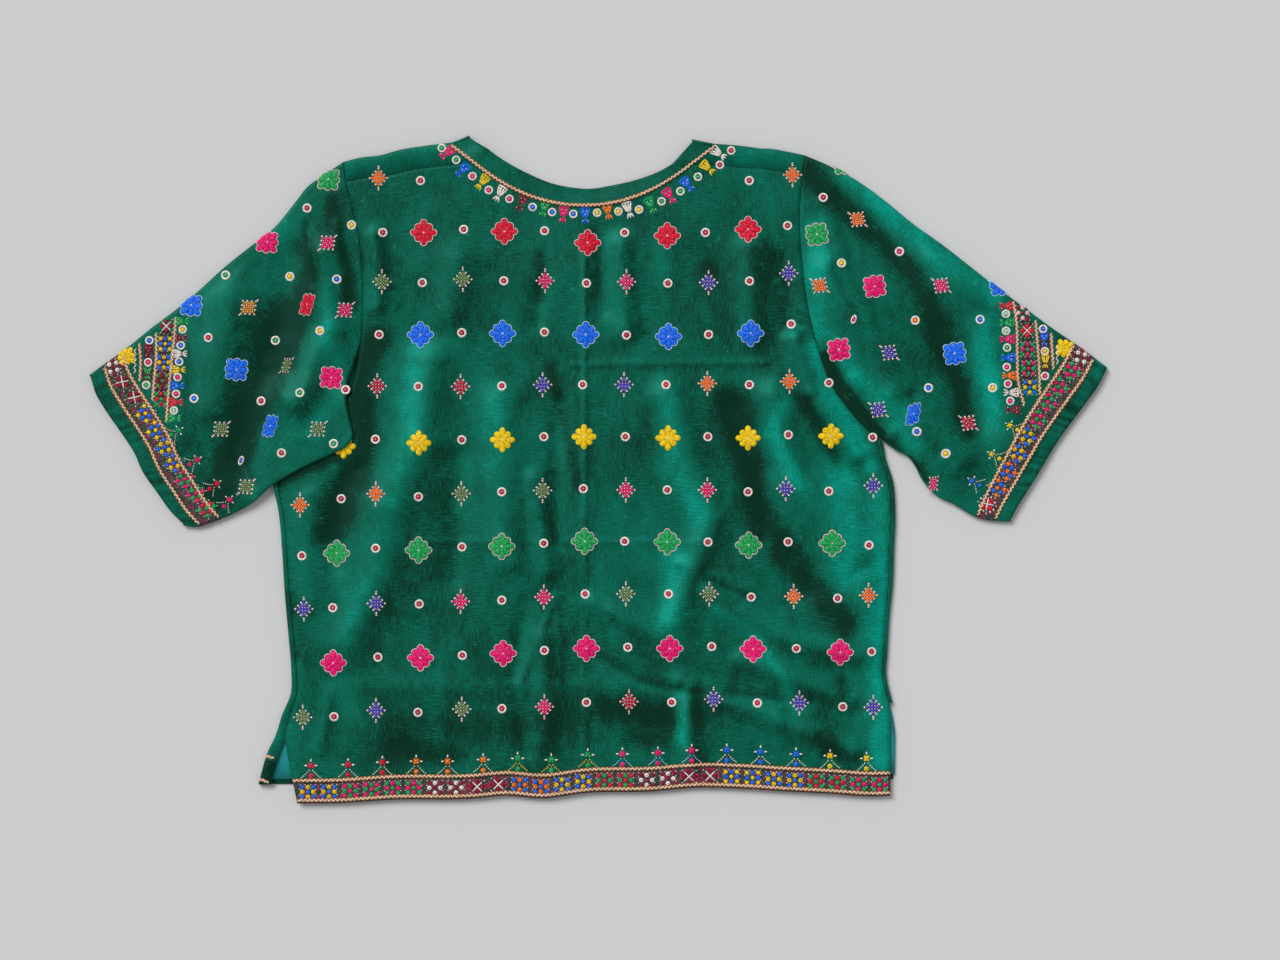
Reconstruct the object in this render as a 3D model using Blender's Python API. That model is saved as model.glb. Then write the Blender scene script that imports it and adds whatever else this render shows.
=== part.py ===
"""A choli blouse of embroidered silk, lying flat with its back uppermost.

Sizes are in millimetres until a mesh is made. +X is to the right of someone who looks down
on the blouse with its neck at the top, +Y is towards the neck and +Z is up from the surface
that it lies on. The origin is at the centre of the blouse's box, on that surface.
"""

import math

import bpy
import numpy as np

MM = 0.001
CLOTH = 1.2  # silk and lining together
SEAM_GAP = 0.3
EDGE_HEIGHT = 5.2  # outer height of a folded edge, front layer to back layer
FOLD_RADIUS = EDGE_HEIGHT / 2
UNDERARM_RADIUS = (EDGE_HEIGHT - CLOTH - SEAM_GAP) / 2
FLAP_LIFT = 4.0  # the left sleeve's flap lies on the body, this much higher
LOWEST_BACK = 2 * CLOTH + SEAM_GAP + 0.2
LOWEST_OVER_LINING = 4.1
FOLD_STEPS = 5
TUCK = 4.0  # the hidden margin under a sleeve's underarm edge
NECK_PLACES = 15
SLEEVE_ROWS = 19
SHORTEST_CELL = 2.0
LINING = 1.0
LINING_TOP = -190.0
LINING_RISE = 4.0  # the lining ends this far above the hem
BORDER_HEIGHT = 18.5
NECK_BAND = 14.0
CUFF_BAND = 13.4
CUFF_BORDER = 17.4
SHOULDER_STRIP = 16.0  # the front turns over the shoulder by this much
BRAID_WIDTH = 3.6
BRAID_THICK = 1.0
BRAID_INSET = 1.0

SILK = (0.004, 0.125, 0.082, 1.0)
BORDER_CLOTH = (0.05, 0.07, 0.05, 1.0)
GOLD_THREAD = (0.62, 0.40, 0.20, 1.0)
LINING_CLOTH = (0.0, 0.20, 0.24, 1.0)

# The body's sides from the vents up to the underarm. Fold is the folded edge of the front
# layer, and margin the end of its turned edge, where the back is sewn to it.
SIDES = (
    # y left, fold left, margin left, y right, fold right, margin right
    (-214.0, -258.8, -250.3, -186.0, 235.2, 232.0),
    (-196.0, -253.0, -246.4, -176.0, 232.4, 229.0),
    (-178.0, -245.8, -240.8, -162.0, 230.0, 226.4),
    (-160.0, -245.6, -241.2, -146.0, 231.0, 227.4),
    (-130.0, -248.0, -243.8, -118.0, 232.6, 229.0),
    (-98.0, -250.8, -246.8, -90.0, 235.4, 231.6),
    (-66.0, -252.8, -248.9, -62.0, 236.4, 232.5),
    (-34.0, -255.6, -251.7, -34.0, 237.4, 233.5),
    (-8.0, -260.6, -256.8, -8.0, 235.2, 231.3),
    (8.0, -261.0, -257.4, 10.0, 229.4, 225.6),
    (22.0, -261.0, -257.6, 24.0, 226.2, 222.6),
)
# Below the vents the layers part: the front's edge and turned margin, and the back's edge.
FRONT_VENTS = (
    # y left, fold left, margin left, y right, edge right
    (-251.2, -271.8, -260.4, -247.0, 235.6),
    (-232.7, -267.0, -256.8, -228.5, 237.0),
    (-223.0, -263.4, -253.6, -207.0, 236.8),
)
BACK_VENTS = (
    # y left, left, y right, right
    (-266.4, -240.4, -260.2, 233.0),
    (-247.0, -244.0, -241.0, 233.0),
    (-236.0, -246.6, -224.0, 233.0),
    (-225.0, -248.6, -205.0, 232.6),
)
# The armhole seams above the underarm, left and right. The last two rows are where the
# shoulder seam meets them and where the shoulder fold begins.
ARMHOLES = (
    # x left, y left, x right, y right
    (-232.0, 29.0, 214.8, 32.0),
    (-214.0, 39.0, 205.2, 42.0),
    (-205.0, 50.0, 194.0, 56.0),
    (-198.5, 64.0, 185.0, 70.0),
    (-194.0, 80.0, 179.6, 84.0),
    (-190.8, 98.0, 171.4, 112.0),
    (-188.6, 134.0, 165.6, 140.0),
    (-189.2, 166.0, 162.4, 168.0),
    (-192.6, 193.0, 160.6, 194.0),
    (-197.6, 212.0, 161.0, 214.0),
    (-201.8, 230.4, 163.0, 236.0),
    (-203.4, 243.8, 164.6, 249.0),
)
FLAP_ROW = 5  # the left armhole's row where the flap begins
# The shoulder folds, each from the armhole to the neck.
SHOULDER_LEFT = (
    # x, y
    (-203.4, 246.4),
    (-190.4, 249.6),
    (-174.4, 251.6),
    (-158.4, 256.0),
    (-142.4, 258.6),
    (-117.2, 261.8),
)
SHOULDER_RIGHT = (
    # x, y
    (164.6, 251.6),
    (150.4, 254.6),
    (139.2, 256.6),
    (128.0, 257.2),
    (116.8, 258.8),
    (92.4, 260.8),
)
# The back's lower edge, which waves.
HEM_BACK = (
    # x, y
    (-240.4, -266.4),
    (-203.2, -265.8),
    (-168.0, -263.4),
    (-97.6, -262.2),
    (-74.0, -260.0),
    (-44.8, -262.2),
    (-9.6, -257.8),
    (43.2, -256.6),
    (78.4, -253.6),
    (113.6, -254.4),
    (148.8, -256.6),
    (184.0, -258.4),
    (219.2, -260.6),
    (233.0, -260.2),
)
# The necklines run from one shoulder fold to the other: the back's is shallow, the front's
# deep. The last table is the free edge of the back's neck band.
NECK_BACK_DEPTH = 49.8
NECK_BACK_POWER = 2.1
NECK_FRONT_DEPTH = 124.0
NECK_EDGE = (
    # x, y
    (-102.8, 267.4),
    (-94.4, 261.8),
    (-84.8, 253.8),
    (-75.2, 247.2),
    (-56.0, 236.8),
    (-36.8, 229.0),
    (-17.6, 225.4),
    (-8.0, 224.8),
    (11.2, 227.6),
    (30.4, 232.0),
    (49.6, 239.2),
    (59.2, 244.8),
    (66.4, 252.6),
    (74.8, 264.4),
)
# The sleeves: the folded top edge from the shoulder to the cuff, the cuff's edge from the
# top down, and the underarm edge from the body, which on the left is the flap's.
SLEEVE_LEFT_TOP = (
    # x, y
    (-203.4, 246.4),
    (-222.4, 233.8),
    (-232.0, 226.8),
    (-241.6, 214.8),
    (-260.8, 192.0),
    (-280.0, 177.2),
    (-299.2, 161.8),
    (-318.4, 144.2),
    (-337.6, 128.2),
    (-356.8, 113.8),
    (-376.0, 98.2),
    (-395.2, 84.4),
    (-406.8, 76.0),
)
SLEEVE_LEFT_CUFF = (
    # x, y
    (-406.8, 76.0),
    (-402.0, 62.0),
    (-392.4, 46.0),
    (-381.2, 30.0),
    (-370.8, 14.0),
    (-363.6, -2.0),
    (-352.6, -18.0),
    (-341.6, -34.0),
    (-331.6, -44.6),
)
SLEEVE_LEFT_FLAP = (
    # x, y
    (-190.8, 98.0),
    (-195.6, 83.0),
    (-200.6, 68.0),
    (-200.6, 52.0),
    (-197.2, 36.0),
    (-196.2, 25.0),
    (-201.0, 18.6),
    (-213.0, 12.6),
    (-237.0, 1.2),
    (-261.6, -13.6),
    (-276.8, -26.8),
    (-292.8, -35.6),
    (-308.8, -42.0),
    (-320.0, -45.6),
    (-331.6, -44.6),
)
SLEEVE_LEFT_UNDER = (
    # x, y
    (-261.6, 22.8),
    (-272.0, 16.0),
    (-283.0, 3.0),
    (-294.0, -12.0),
    (-306.0, -26.0),
    (-318.0, -36.0),
    (-330.0, -42.6),
)
SLEEVE_RIGHT_TOP = (
    # x, y
    (164.6, 251.6),
    (184.0, 243.4),
    (206.4, 231.4),
    (228.8, 215.4),
    (251.2, 197.0),
    (273.6, 181.0),
    (296.0, 163.6),
    (318.4, 146.0),
    (340.8, 129.6),
    (363.2, 113.0),
    (385.6, 97.8),
    (406.8, 81.8),
)
SLEEVE_RIGHT_CUFF = (
    # x, y
    (406.8, 81.8),
    (399.8, 68.4),
    (388.4, 52.4),
    (376.4, 36.4),
    (365.2, 20.4),
    (355.6, 4.4),
    (346.0, -11.6),
    (336.4, -27.6),
    (329.2, -41.4),
)
SLEEVE_RIGHT_EDGE = (
    # x, y
    (224.6, 25.6),
    (231.6, 20.0),
    (238.4, 15.2),
    (245.0, 12.2),
    (251.2, 6.4),
    (257.6, -6.4),
    (264.0, -14.8),
    (272.0, -21.8),
    (283.2, -27.0),
    (292.0, -32.4),
    (302.4, -38.0),
    (315.0, -40.6),
    (329.2, -41.4),
)
# Where the flap rises off the sleeve onto the body: full lift right of and below these.
FLAP_CORNER = (-200.0, 18.0)
FLAP_SLOPE = 0.5
FLAP_FADE = 11.0
FLAP_HIGHEST = 104.0
LIFT_X = (-292.0, -264.0)
LIFT_Y = (82.0, 55.0)

# The large folds of the back and the sleeves: soft ridges, and troughs where height is
# negative, each along a straight stretch.
BODY_FOLDS = (
    # x0, y0, x1, y1, half width, height
    (-132.4, 85.6, -142.8, 21.6, 16.0, 4.2),
    (-142.8, 21.6, -169.2, -32.0, 18.0, 4.6),
    (-169.2, -32.0, -180.4, -96.0, 18.0, 4.2),
    (-180.4, -96.0, -201.2, -138.4, 15.0, 3.2),
    (-192.0, 44.0, -201.2, -10.4, 11.0, -2.0),
    (-201.2, -10.4, -212.4, -58.4, 11.0, -2.0),
    (-230.8, -24.0, -232.0, -104.0, 12.0, 2.0),
    (-110.8, 10.4, -116.4, -85.6, 10.0, -2.0),
    (-78.8, 56.0, -74.8, -72.0, 14.0, 3.2),
    (-33.2, 53.6, -33.2, -58.4, 7.0, -1.8),
    (-50.8, -8.0, -40.4, -80.0, 9.0, 2.6),
    (54.8, 58.4, 91.6, -37.6, 13.0, 4.4),
    (91.6, -37.6, 59.6, -122.4, 12.0, 3.6),
    (107.6, 48.0, 129.2, 0.0, 10.0, -2.0),
    (129.2, 0.0, 134.8, -53.6, 10.0, -2.2),
    (134.8, -53.6, 166.8, -96.0, 11.0, -2.0),
    (139.6, 58.4, 155.6, -10.4, 12.0, 5.0),
    (155.6, -10.4, 205.0, -66.0, 15.0, 4.0),
    (214.0, -88.0, 214.0, -144.0, 11.0, 2.6),
    (84.0, -96.0, 156.0, -138.0, 8.0, 3.0),
    (156.0, -138.0, 206.0, -148.0, 8.0, 2.4),
    (-4.4, -106.4, 49.2, -133.6, 8.0, 2.6),
    (-57.2, -106.4, -68.4, -165.6, 7.0, -1.8),
    (-68.4, -165.6, -57.2, -224.0, 7.0, -1.8),
    (-42.8, -136.0, -42.8, -216.0, 9.0, 2.6),
    (-196.4, -174.0, 57.2, -174.0, 8.0, 1.8),
    (-170.0, -224.0, -110.0, -228.0, 14.0, -1.0),
    (30.0, -196.0, 52.0, -214.0, 10.0, -1.0),
    (72.0, -176.0, 74.0, -236.0, 8.0, 4.2),
    (66.0, -170.0, 145.2, -202.4, 8.0, 3.0),
    (145.2, -202.4, 203.6, -224.0, 8.0, 3.0),
    (113.2, -152.0, 201.2, -184.0, 8.0, 2.6),
    (1.2, 190.0, 3.6, 128.0, 8.0, -1.8),
    (18.8, 180.0, 22.8, 112.0, 9.0, 3.2),
    (-46.8, 144.0, -49.2, 118.0, 7.0, -1.6),
    (-110.8, 165.6, -118.0, 126.0, 15.0, 3.2),
    (121.2, 176.0, 125.2, 112.0, 12.0, 3.6),
    (143.0, 165.6, 152.0, 116.0, 8.0, -2.0),
    (157.0, 104.0, 170.0, 62.0, 8.0, 5.6),
    (170.0, 62.0, 206.0, 12.0, 8.0, 5.6),
    (-178.0, 188.0, -176.0, 132.0, 7.0, 3.0),
)
SLEEVE_FOLDS = (
    # x0, y0, x1, y1, half width, height
    (-219.0, 172.0, -212.4, 112.0, 11.0, 5.0),
    (-212.4, 112.0, -238.8, 56.0, 13.0, 4.4),
    (-246.8, 170.4, -254.8, 112.0, 12.0, -2.0),
    (-254.8, 112.0, -282.0, 10.4, 12.0, -2.0),
    (-294.8, 136.0, -306.8, 50.0, 18.0, 4.2),
    (-340.0, 92.0, -330.0, 30.0, 14.0, 2.2),
    (182.8, 160.0, 235.6, 62.0, 14.0, 5.4),
    (235.6, 62.0, 289.2, 10.4, 14.0, 5.0),
    (225.2, 197.6, 273.2, 112.0, 13.0, -2.0),
    (273.2, 112.0, 303.0, 40.0, 13.0, -2.0),
    (269.2, 168.0, 321.2, 72.0, 14.0, 3.6),
    (321.2, 72.0, 330.0, 20.0, 13.0, 2.4),
    (190.0, 88.0, 228.0, 36.0, 8.0, -2.0),
)
NECK_SINK = 1.9
NECK_SINK_LENGTH = 70.0
NECK_BAND_SINK = 0.95
SHOULDER_SHARES = np.array([0.0, 0.05, 0.13, 0.28, 0.52, 0.78, 1.0])
PIN = 11.0  # folds die away over this distance from a sewn or folded edge


def make_material(name, colour, roughness, metallic=0.0):
    material = bpy.data.materials.new(name)
    material.use_nodes = True
    shader = material.node_tree.nodes["Principled BSDF"]
    shader.inputs["Base Color"].default_value = colour
    shader.inputs["Roughness"].default_value = roughness
    shader.inputs["Metallic"].default_value = metallic
    return material


def smooth(t):
    """0 to 1 with level ends."""
    t = np.clip(t, 0.0, 1.0)
    return t * t * (3.0 - 2.0 * t)


def along(points, shares):
    """Points at these shares of the length of a smooth curve through the given points."""
    p = np.array(points, float)
    knots = np.concatenate([[0.0], np.cumsum(np.linalg.norm(np.diff(p, axis=0), axis=1))])
    knots /= knots[-1]
    slope = np.gradient(p, knots, axis=0)
    t = np.clip(np.asarray(shares, float), 0.0, 1.0)
    k = np.clip(np.searchsorted(knots, t, side="right") - 1, 0, len(knots) - 2)
    span = knots[k + 1] - knots[k]
    s = ((t - knots[k]) / span)[:, None]
    span = span[:, None]
    return (
        (2 * s**3 - 3 * s**2 + 1) * p[k]
        + (s**3 - 2 * s**2 + s) * span * slope[k]
        + (-2 * s**3 + 3 * s**2) * p[k + 1]
        + (s**3 - s**2) * span * slope[k + 1]
    )


def coons(bottom, top, left, right, u, v):
    """The plan grid [row, column] that fills four edges. Left and right run bottom to top, and
    u and v are the columns' and rows' shares of the way."""
    u, v = u[None, :, None], v[:, None, None]
    return (
        (1 - v) * bottom[None] + v * top[None]
        + (1 - u) * left[:, None] + u * right[:, None]
        - (1 - u) * (1 - v) * bottom[0] - u * (1 - v) * bottom[-1]
        - (1 - u) * v * top[0] - u * v * top[-1]
    )


def relief(folds, x, y):
    """Height of the folds at x, y: each is a bell across the distance to its stretch."""
    height = np.zeros_like(x)
    for x0, y0, x1, y1, half, top in folds:
        dx, dy = x1 - x0, y1 - y0
        t = np.clip(((x - x0) * dx + (y - y0) * dy) / (dx * dx + dy * dy), 0.0, 1.0)
        away = np.hypot(x - x0 - t * dx, y - y0 - t * dy)
        height += top * np.exp(-((away / half) ** 2))
    return height


def outward(edge):
    """Unit plan normals of an edge that has the cloth on its left."""
    d = np.gradient(edge, axis=0)
    n = np.stack([d[:, 1], -d[:, 0]], axis=1)
    return n / np.linalg.norm(n, axis=1)[:, None]


def wall(name, outer, inward, material, keep=None, thick=CLOTH):
    """One closed wall of cloth. Outer is a grid of points, inward the unit way from each to
    the inside face, and keep says which cells are cloth."""
    rows, columns = outer.shape[:2]
    keep = np.ones((rows - 1, columns - 1), bool) if keep is None else keep
    inner = outer + inward * thick
    points = np.concatenate([outer.reshape(-1, 3), inner.reshape(-1, 3)]) * MM
    shift = rows * columns
    r, c = np.nonzero(keep)
    quads = np.stack(
        [r * columns + c, r * columns + c + 1, (r + 1) * columns + c + 1, (r + 1) * columns + c],
        axis=1,
    )
    corner = outer.reshape(-1, 3)[quads]
    normal = np.cross(corner[:, 2] - corner[:, 0], corner[:, 3] - corner[:, 1])
    if (normal * inward.reshape(-1, 3)[quads[:, 0]]).sum() > 0:
        quads = quads[:, ::-1]
    edges = {}
    for quad in quads:
        for a, b in zip(quad, np.roll(quad, -1)):
            edges[(a, b)] = True
    rim = [(b, a, a + shift, b + shift) for a, b in edges if (b, a) not in edges]
    faces = [*quads.tolist(), *(quads[:, ::-1] + shift).tolist(), *rim]
    used, index = np.unique(np.array(faces), return_inverse=True)
    mesh = bpy.data.meshes.new(name)
    mesh.from_pydata(points[used].tolist(), [], index.reshape(-1, 4).tolist())
    mesh.update()
    mesh.shade_smooth()
    made = bpy.data.objects.new(name, mesh)
    made.data.materials.append(material)
    bpy.data.collections["choli_blouse"].objects.link(made)
    return made


def upright(grid, z):
    """A plan grid lifted to z."""
    return np.concatenate([grid, np.broadcast_to(z, grid.shape[:2])[..., None]], axis=2)


def ways(shape, z):
    """The same inward way, straight down or up, for a whole grid."""
    way = np.zeros((*shape, 3))
    way[..., 2] = z
    return way


def turn(tangent, out, radius, top, rising=True):
    """The half circle of cloth at a folded edge, as (points, ways) in [step, place] order.

    tangent holds the plan points where the circle starts, out the plan ways that it bulges,
    and top the height of its upper side. A rising turn starts at its underside."""
    angles = np.linspace(0, math.pi, FOLD_STEPS + 1)
    if not rising:
        angles = angles[::-1]
    s, c = np.sin(angles)[:, None], np.cos(angles)[:, None]
    plan = tangent[None] + (radius * s)[..., None] * out[None]
    z = np.broadcast_to(top, len(tangent))[None] - radius - radius * c
    way = np.concatenate([-s[..., None] * out[None], np.broadcast_to(c, z.shape)[..., None]], 2)
    return np.concatenate([plan, z[..., None]], axis=2), way


def armhole(side, half_gap):
    """The armhole seam's points above the underarm, moved half a seam's gap towards the body
    (positive) or the sleeve."""
    table = np.array(ARMHOLES)
    line = table[:, 0:2] if side == "left" else table[:, 2:4]
    inward = outward(line) if side == "left" else -outward(line)
    return line + inward * half_gap


def panel_edges(lower, column_left, column_right, gap, top_rows):
    """The left and right edges of a body panel, row by row from its hem to its shoulder.

    lower is a list of (y left, left, y right, right) rows below the vents."""
    table = np.array(SIDES)
    left = table[:, [column_left, 0]] + [gap, 0.0]
    right = table[:, [column_right, 3]] - [gap, 0.0]
    low = np.array(lower)
    holes = [armhole(side, SEAM_GAP / 2)[:top_rows] for side in ("left", "right")]
    return (
        np.concatenate([low[:, [1, 0]], left, holes[0]]),
        np.concatenate([low[:, [3, 2]], right, holes[1]]),
    )


def fill_panel(bottom, top, left, right):
    """A panel's plan: straight across from edge to edge, bent to its bottom and top."""
    rise = (left[:, 1] - left[0, 1]) / (left[-1, 1] - left[0, 1])
    rise += (right[:, 1] - right[0, 1]) / (right[-1, 1] - right[0, 1])
    v = (rise / 2)[:, None, None]
    share = (top[:, 0] - top[0, 0]) / (top[-1, 0] - top[0, 0])
    u = share[None, :, None]
    across = share[:, None]
    plan = (
        (1 - v) * (bottom - (bottom[0] + (bottom[-1] - bottom[0]) * across))[None]
        + v * (top - (top[0] + (top[-1] - top[0]) * across))[None]
        + (1 - u) * left[:, None] + u * right[:, None]
    )
    return plan, share


def neckline(shares, depth, elliptic):
    """The neck seam from the left shoulder fold to the right one."""
    a, b = np.array(SHOULDER_LEFT[-1]), np.array(SHOULDER_RIGHT[-1])
    if elliptic:
        s = -np.cos(math.pi * shares)
        drop = depth * np.sin(math.pi * shares)
    else:
        s = 2 * shares - 1
        drop = depth * (1 - np.abs(s) ** NECK_BACK_POWER)
    line = a + (b - a) * ((s + 1) / 2)[:, None]
    line[:, 1] -= drop
    line[[0, -1], 1] -= FOLD_RADIUS
    return line


def neck_shares():
    """Places along the back's neckline: its ends, where the shoulder seams meet it, and
    evenly between those."""
    line = neckline(np.linspace(0, 1, 401), NECK_BACK_DEPTH, False)
    left = SHOULDER_LEFT[-1][1] - SHOULDER_STRIP
    right = SHOULDER_RIGHT[-1][1] - SHOULDER_STRIP
    first = np.interp(-left, -line[:200, 1], np.linspace(0, 0.4975, 200))
    last = np.interp(right, line[201:, 1], np.linspace(0.5025, 1, 200))
    return np.concatenate([[0.0], np.linspace(first, last, NECK_PLACES), [1.0]])


def neck_drop(shares):
    """How far the unsupported back of the neck sinks towards the floor."""
    return NECK_SINK * np.sin(math.pi * np.clip(shares, 0, 1))


def down_by(points, amount):
    return points - np.array([0.0, amount])


def shoulder_seam(side):
    """The seam where the front, turned over a shoulder, meets the back: armhole to neck."""
    fold = SHOULDER_LEFT if side == "left" else SHOULDER_RIGHT
    line = down_by(along(fold, SHOULDER_SHARES), SHOULDER_STRIP)
    start = armhole(side, SEAM_GAP / 2)[-2]
    neck = neckline(neck_shares(), NECK_BACK_DEPTH, False)[[1, -2]]
    stop = neck[0] if side == "left" else neck[1]
    keep = SHOULDER_SHARES[:, None]
    return line + (start - line[0]) * (1 - keep) + (stop - line[-1]) * keep


def back_hem(x):
    """The back's lower edge at x."""
    table = np.array(HEM_BACK)
    low = along(HEM_BACK, np.linspace(0, 1, 81))
    return np.stack([x, np.interp(np.clip(x, *table[[0, -1], 0]), low[:, 0], low[:, 1])], axis=1)


def under_flap(x, y):
    """1 where the left sleeve's flap lies on the back, fading to 0 just outside its edges."""
    corner_x, corner_y = FLAP_CORNER
    low = corner_y + (x - corner_x) * FLAP_SLOPE
    right = smooth((corner_x + 2 * FLAP_FADE - x) / FLAP_FADE)
    return right * smooth((y - low) / FLAP_FADE + 2) * smooth((FLAP_HIGHEST - y) / FLAP_FADE)


def back_grid():
    """The back panel's plan, its distances from side and top edges, and how it sinks."""
    shares = neck_shares()
    middle = neckline(shares, NECK_BACK_DEPTH, False)[2:-2]
    top = np.concatenate([shoulder_seam("left"), middle, shoulder_seam("right")[::-1]])
    top = down_by(top, SEAM_GAP)
    flat = np.zeros(len(SHOULDER_SHARES) - 1)
    sink = np.concatenate([flat, neck_drop(shares)[1:-1], flat])
    left, right = panel_edges(BACK_VENTS[1:], 2, 5, SEAM_GAP, -1)
    left[-1], right[-1] = top[0], top[-1]
    share = (top[:, 0] - top[0, 0]) / (top[-1, 0] - top[0, 0])
    bottom = back_hem(left[0, 0] + (right[0, 0] - left[0, 0]) * share)
    bottom[:, 1] += BORDER_HEIGHT
    left[0], right[0] = bottom[0], bottom[-1]
    plan, share = fill_panel(bottom, top, left, right)
    width = (right - left)[:, 0][:, None]
    from_side = np.minimum(share[None], 1 - share[None]) * width
    from_top = top[:, 1][None] - plan[..., 1]
    return plan, from_side, from_top, sink


def back_height(plan, from_side, from_top, sink):
    """Outer height of the back: level at the seams, folded between them."""
    x, y = plan[..., 0], plan[..., 1]
    pinned = smooth(from_side / PIN) * smooth(from_top / (2 * PIN)) * (1 - under_flap(x, y))
    z = EDGE_HEIGHT + pinned * relief(BODY_FOLDS, x, y)
    z -= sink * smooth(1 - from_top / NECK_SINK_LENGTH)
    least = np.where(y < LINING_TOP, LOWEST_OVER_LINING, LOWEST_BACK)
    return np.maximum(z, least)


def build_back(silk, border, gold):
    plan, from_side, from_top, sink = back_grid()
    z = back_height(plan, from_side, from_top, sink[None])
    wall("back_panel", upright(plan, z), ways(z.shape, -1), silk)
    hem = back_hem(plan[0, :, 0] + np.linspace(BACK_VENTS[0][1] - BACK_VENTS[1][1], 0, len(plan[0])))
    steps = np.array([0.0, 0.5, 1.0])[:, None, None]
    start = down_by(plan[0], SEAM_GAP)
    band = start[None] + (hem - start)[None] * steps
    pinned = smooth(from_side[0] / PIN)[None]
    z_band = EDGE_HEIGHT + pinned * relief(BODY_FOLDS, band[..., 0], band[..., 1])
    z_band = np.maximum(z_band, LOWEST_OVER_LINING)
    wall("hem_border_back", upright(band, z_band), ways(z_band.shape, -1), border)
    step = np.array([0.0, 1.0])[:, None]
    for name, line, low, tops in (
        ("hem_braid_upper", plan[0], -BRAID_WIDTH / 2, (z[0], z_band[0], z_band[1])),
        ("hem_braid_lower", hem, BRAID_INSET, (z_band[1], z_band[2])),
    ):
        spread = np.repeat(line[None], 2, axis=0)
        spread[..., 1] += low + step * BRAID_WIDTH
        top = np.max(np.stack(tops), axis=0) + SEAM_GAP + BRAID_THICK
        wall(name, upright(spread, top), ways(spread.shape[:2], -1), gold, thick=BRAID_THICK)


def build_front(silk, border, lining):
    """The front lies on the floor. Its sides turn over onto the back's side of the blouse,
    and its shoulders turn over to the shoulder seams."""
    hem, above = FRONT_VENTS[:2]
    lowest = [
        (hem[0] + BORDER_HEIGHT, above[1], hem[3] + BORDER_HEIGHT, above[4]),
        *((row[0], row[1], row[3], row[4]) for row in FRONT_VENTS[2:]),
    ]
    left, right = panel_edges(lowest, 1, 4, 0.0, None)
    below = len(lowest)
    underarm = below + len(SIDES)
    left[:underarm, 0] += FOLD_RADIUS
    right[below:underarm, 0] -= FOLD_RADIUS
    neck = neckline(np.linspace(0, 1, NECK_PLACES), NECK_FRONT_DEPTH, True)[1:-1]
    folds = [
        down_by(along(fold, SHOULDER_SHARES), FOLD_RADIUS) for fold in (SHOULDER_LEFT, SHOULDER_RIGHT)
    ]
    top = np.concatenate([folds[0], neck, folds[1][::-1]])
    top[0], top[-1] = left[-1], right[-1]
    share = (top[:, 0] - top[0, 0]) / (top[-1, 0] - top[0, 0])
    bottom = left[0] + (right[0] - left[0]) * share[:, None]
    plan, share = fill_panel(bottom, top, left, right)
    rows, columns = plan.shape[:2]
    extra = FOLD_STEPS + 1
    grid = np.zeros((rows + extra, columns + 2 * extra, 3))
    way = ways(grid.shape[:2], 1)
    grid[:rows, extra:-extra, :2] = plan
    keep = np.zeros((rows + extra - 1, columns + 2 * extra - 1), bool)
    keep[: rows - 1, extra : extra + columns - 1] = True
    sides = np.array(SIDES)
    margins = [above[2], *(row[2] for row in FRONT_VENTS[2:])]
    ends = (np.concatenate([margins, sides[:, 2]]), sides[:, 5])
    for edge, first, end, sign, at in (
        (left, 0, ends[0], -1.0, np.arange(extra)[::-1]),
        (right, below, ends[1], 1.0, np.arange(extra) + extra + columns),
    ):
        span = slice(first, underarm)
        out = np.tile([sign, 0.0], (underarm - first, 1))
        points, inward = turn(edge[span], out, FOLD_RADIUS, EDGE_HEIGHT)
        grid[span, at[:-1]] = points[1:].transpose(1, 0, 2)
        way[span, at[:-1]] = inward[1:].transpose(1, 0, 2)
        heights = np.full(underarm - first, EDGE_HEIGHT)
        grid[span, at[-1]] = np.stack([end, edge[span, 1], heights], axis=1)
        way[span, at[-1]] = (0, 0, -1)
        low = min(at) - (sign > 0)
        keep[first : underarm - 1, low : low + extra] = True
    count = len(SHOULDER_SHARES)
    for side, part in (
        ("left", slice(extra, extra + count)),
        ("right", slice(extra + columns - count, extra + columns)),
    ):
        seam = shoulder_seam(side)
        seam = seam if side == "left" else seam[::-1]
        up = np.tile([0.0, 1.0], (count, 1))
        points, inward = turn(grid[rows - 1, part, :2], up, FOLD_RADIUS, EDGE_HEIGHT)
        grid[rows:-1, part] = points[1:]
        way[rows:-1, part] = inward[1:]
        grid[-1, part] = np.concatenate([seam, np.full((count, 1), EDGE_HEIGHT)], axis=1)
        way[-1, part] = (0, 0, -1)
        keep[rows - 1 :, part.start : part.stop - 1] = True
    wall("front_panel", grid, way, silk, keep)
    build_front_hem(grid, way, keep, border)
    build_lining(plan, lining)


def build_front_hem(grid, way, keep, border):
    """The front's hem border, which carries on from its lowest row, turned margin and all."""
    used = np.nonzero(keep[0])[0]
    span = slice(used[0], used[-1] + 2)
    start = down_by(grid[0, span, :2], SEAM_GAP)
    hem, above = FRONT_VENTS[:2]
    ends = (hem[1] - above[1], hem[4] - above[4])
    shift = np.interp(start[:, 0], (above[2] + FOLD_RADIUS, above[4]), ends)
    stop = start + np.stack([shift, np.full(len(shift), SEAM_GAP - BORDER_HEIGHT)], axis=1)
    steps = np.array([0.0, 0.5, 1.0])[:, None, None]
    band = start[None] + (stop - start)[None] * steps
    z = np.broadcast_to(grid[0, span, 2], band.shape[:2])
    inward = np.broadcast_to(way[0, span], (*band.shape[:2], 3))
    wall("hem_border_front", upright(band, z), inward, border)


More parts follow.
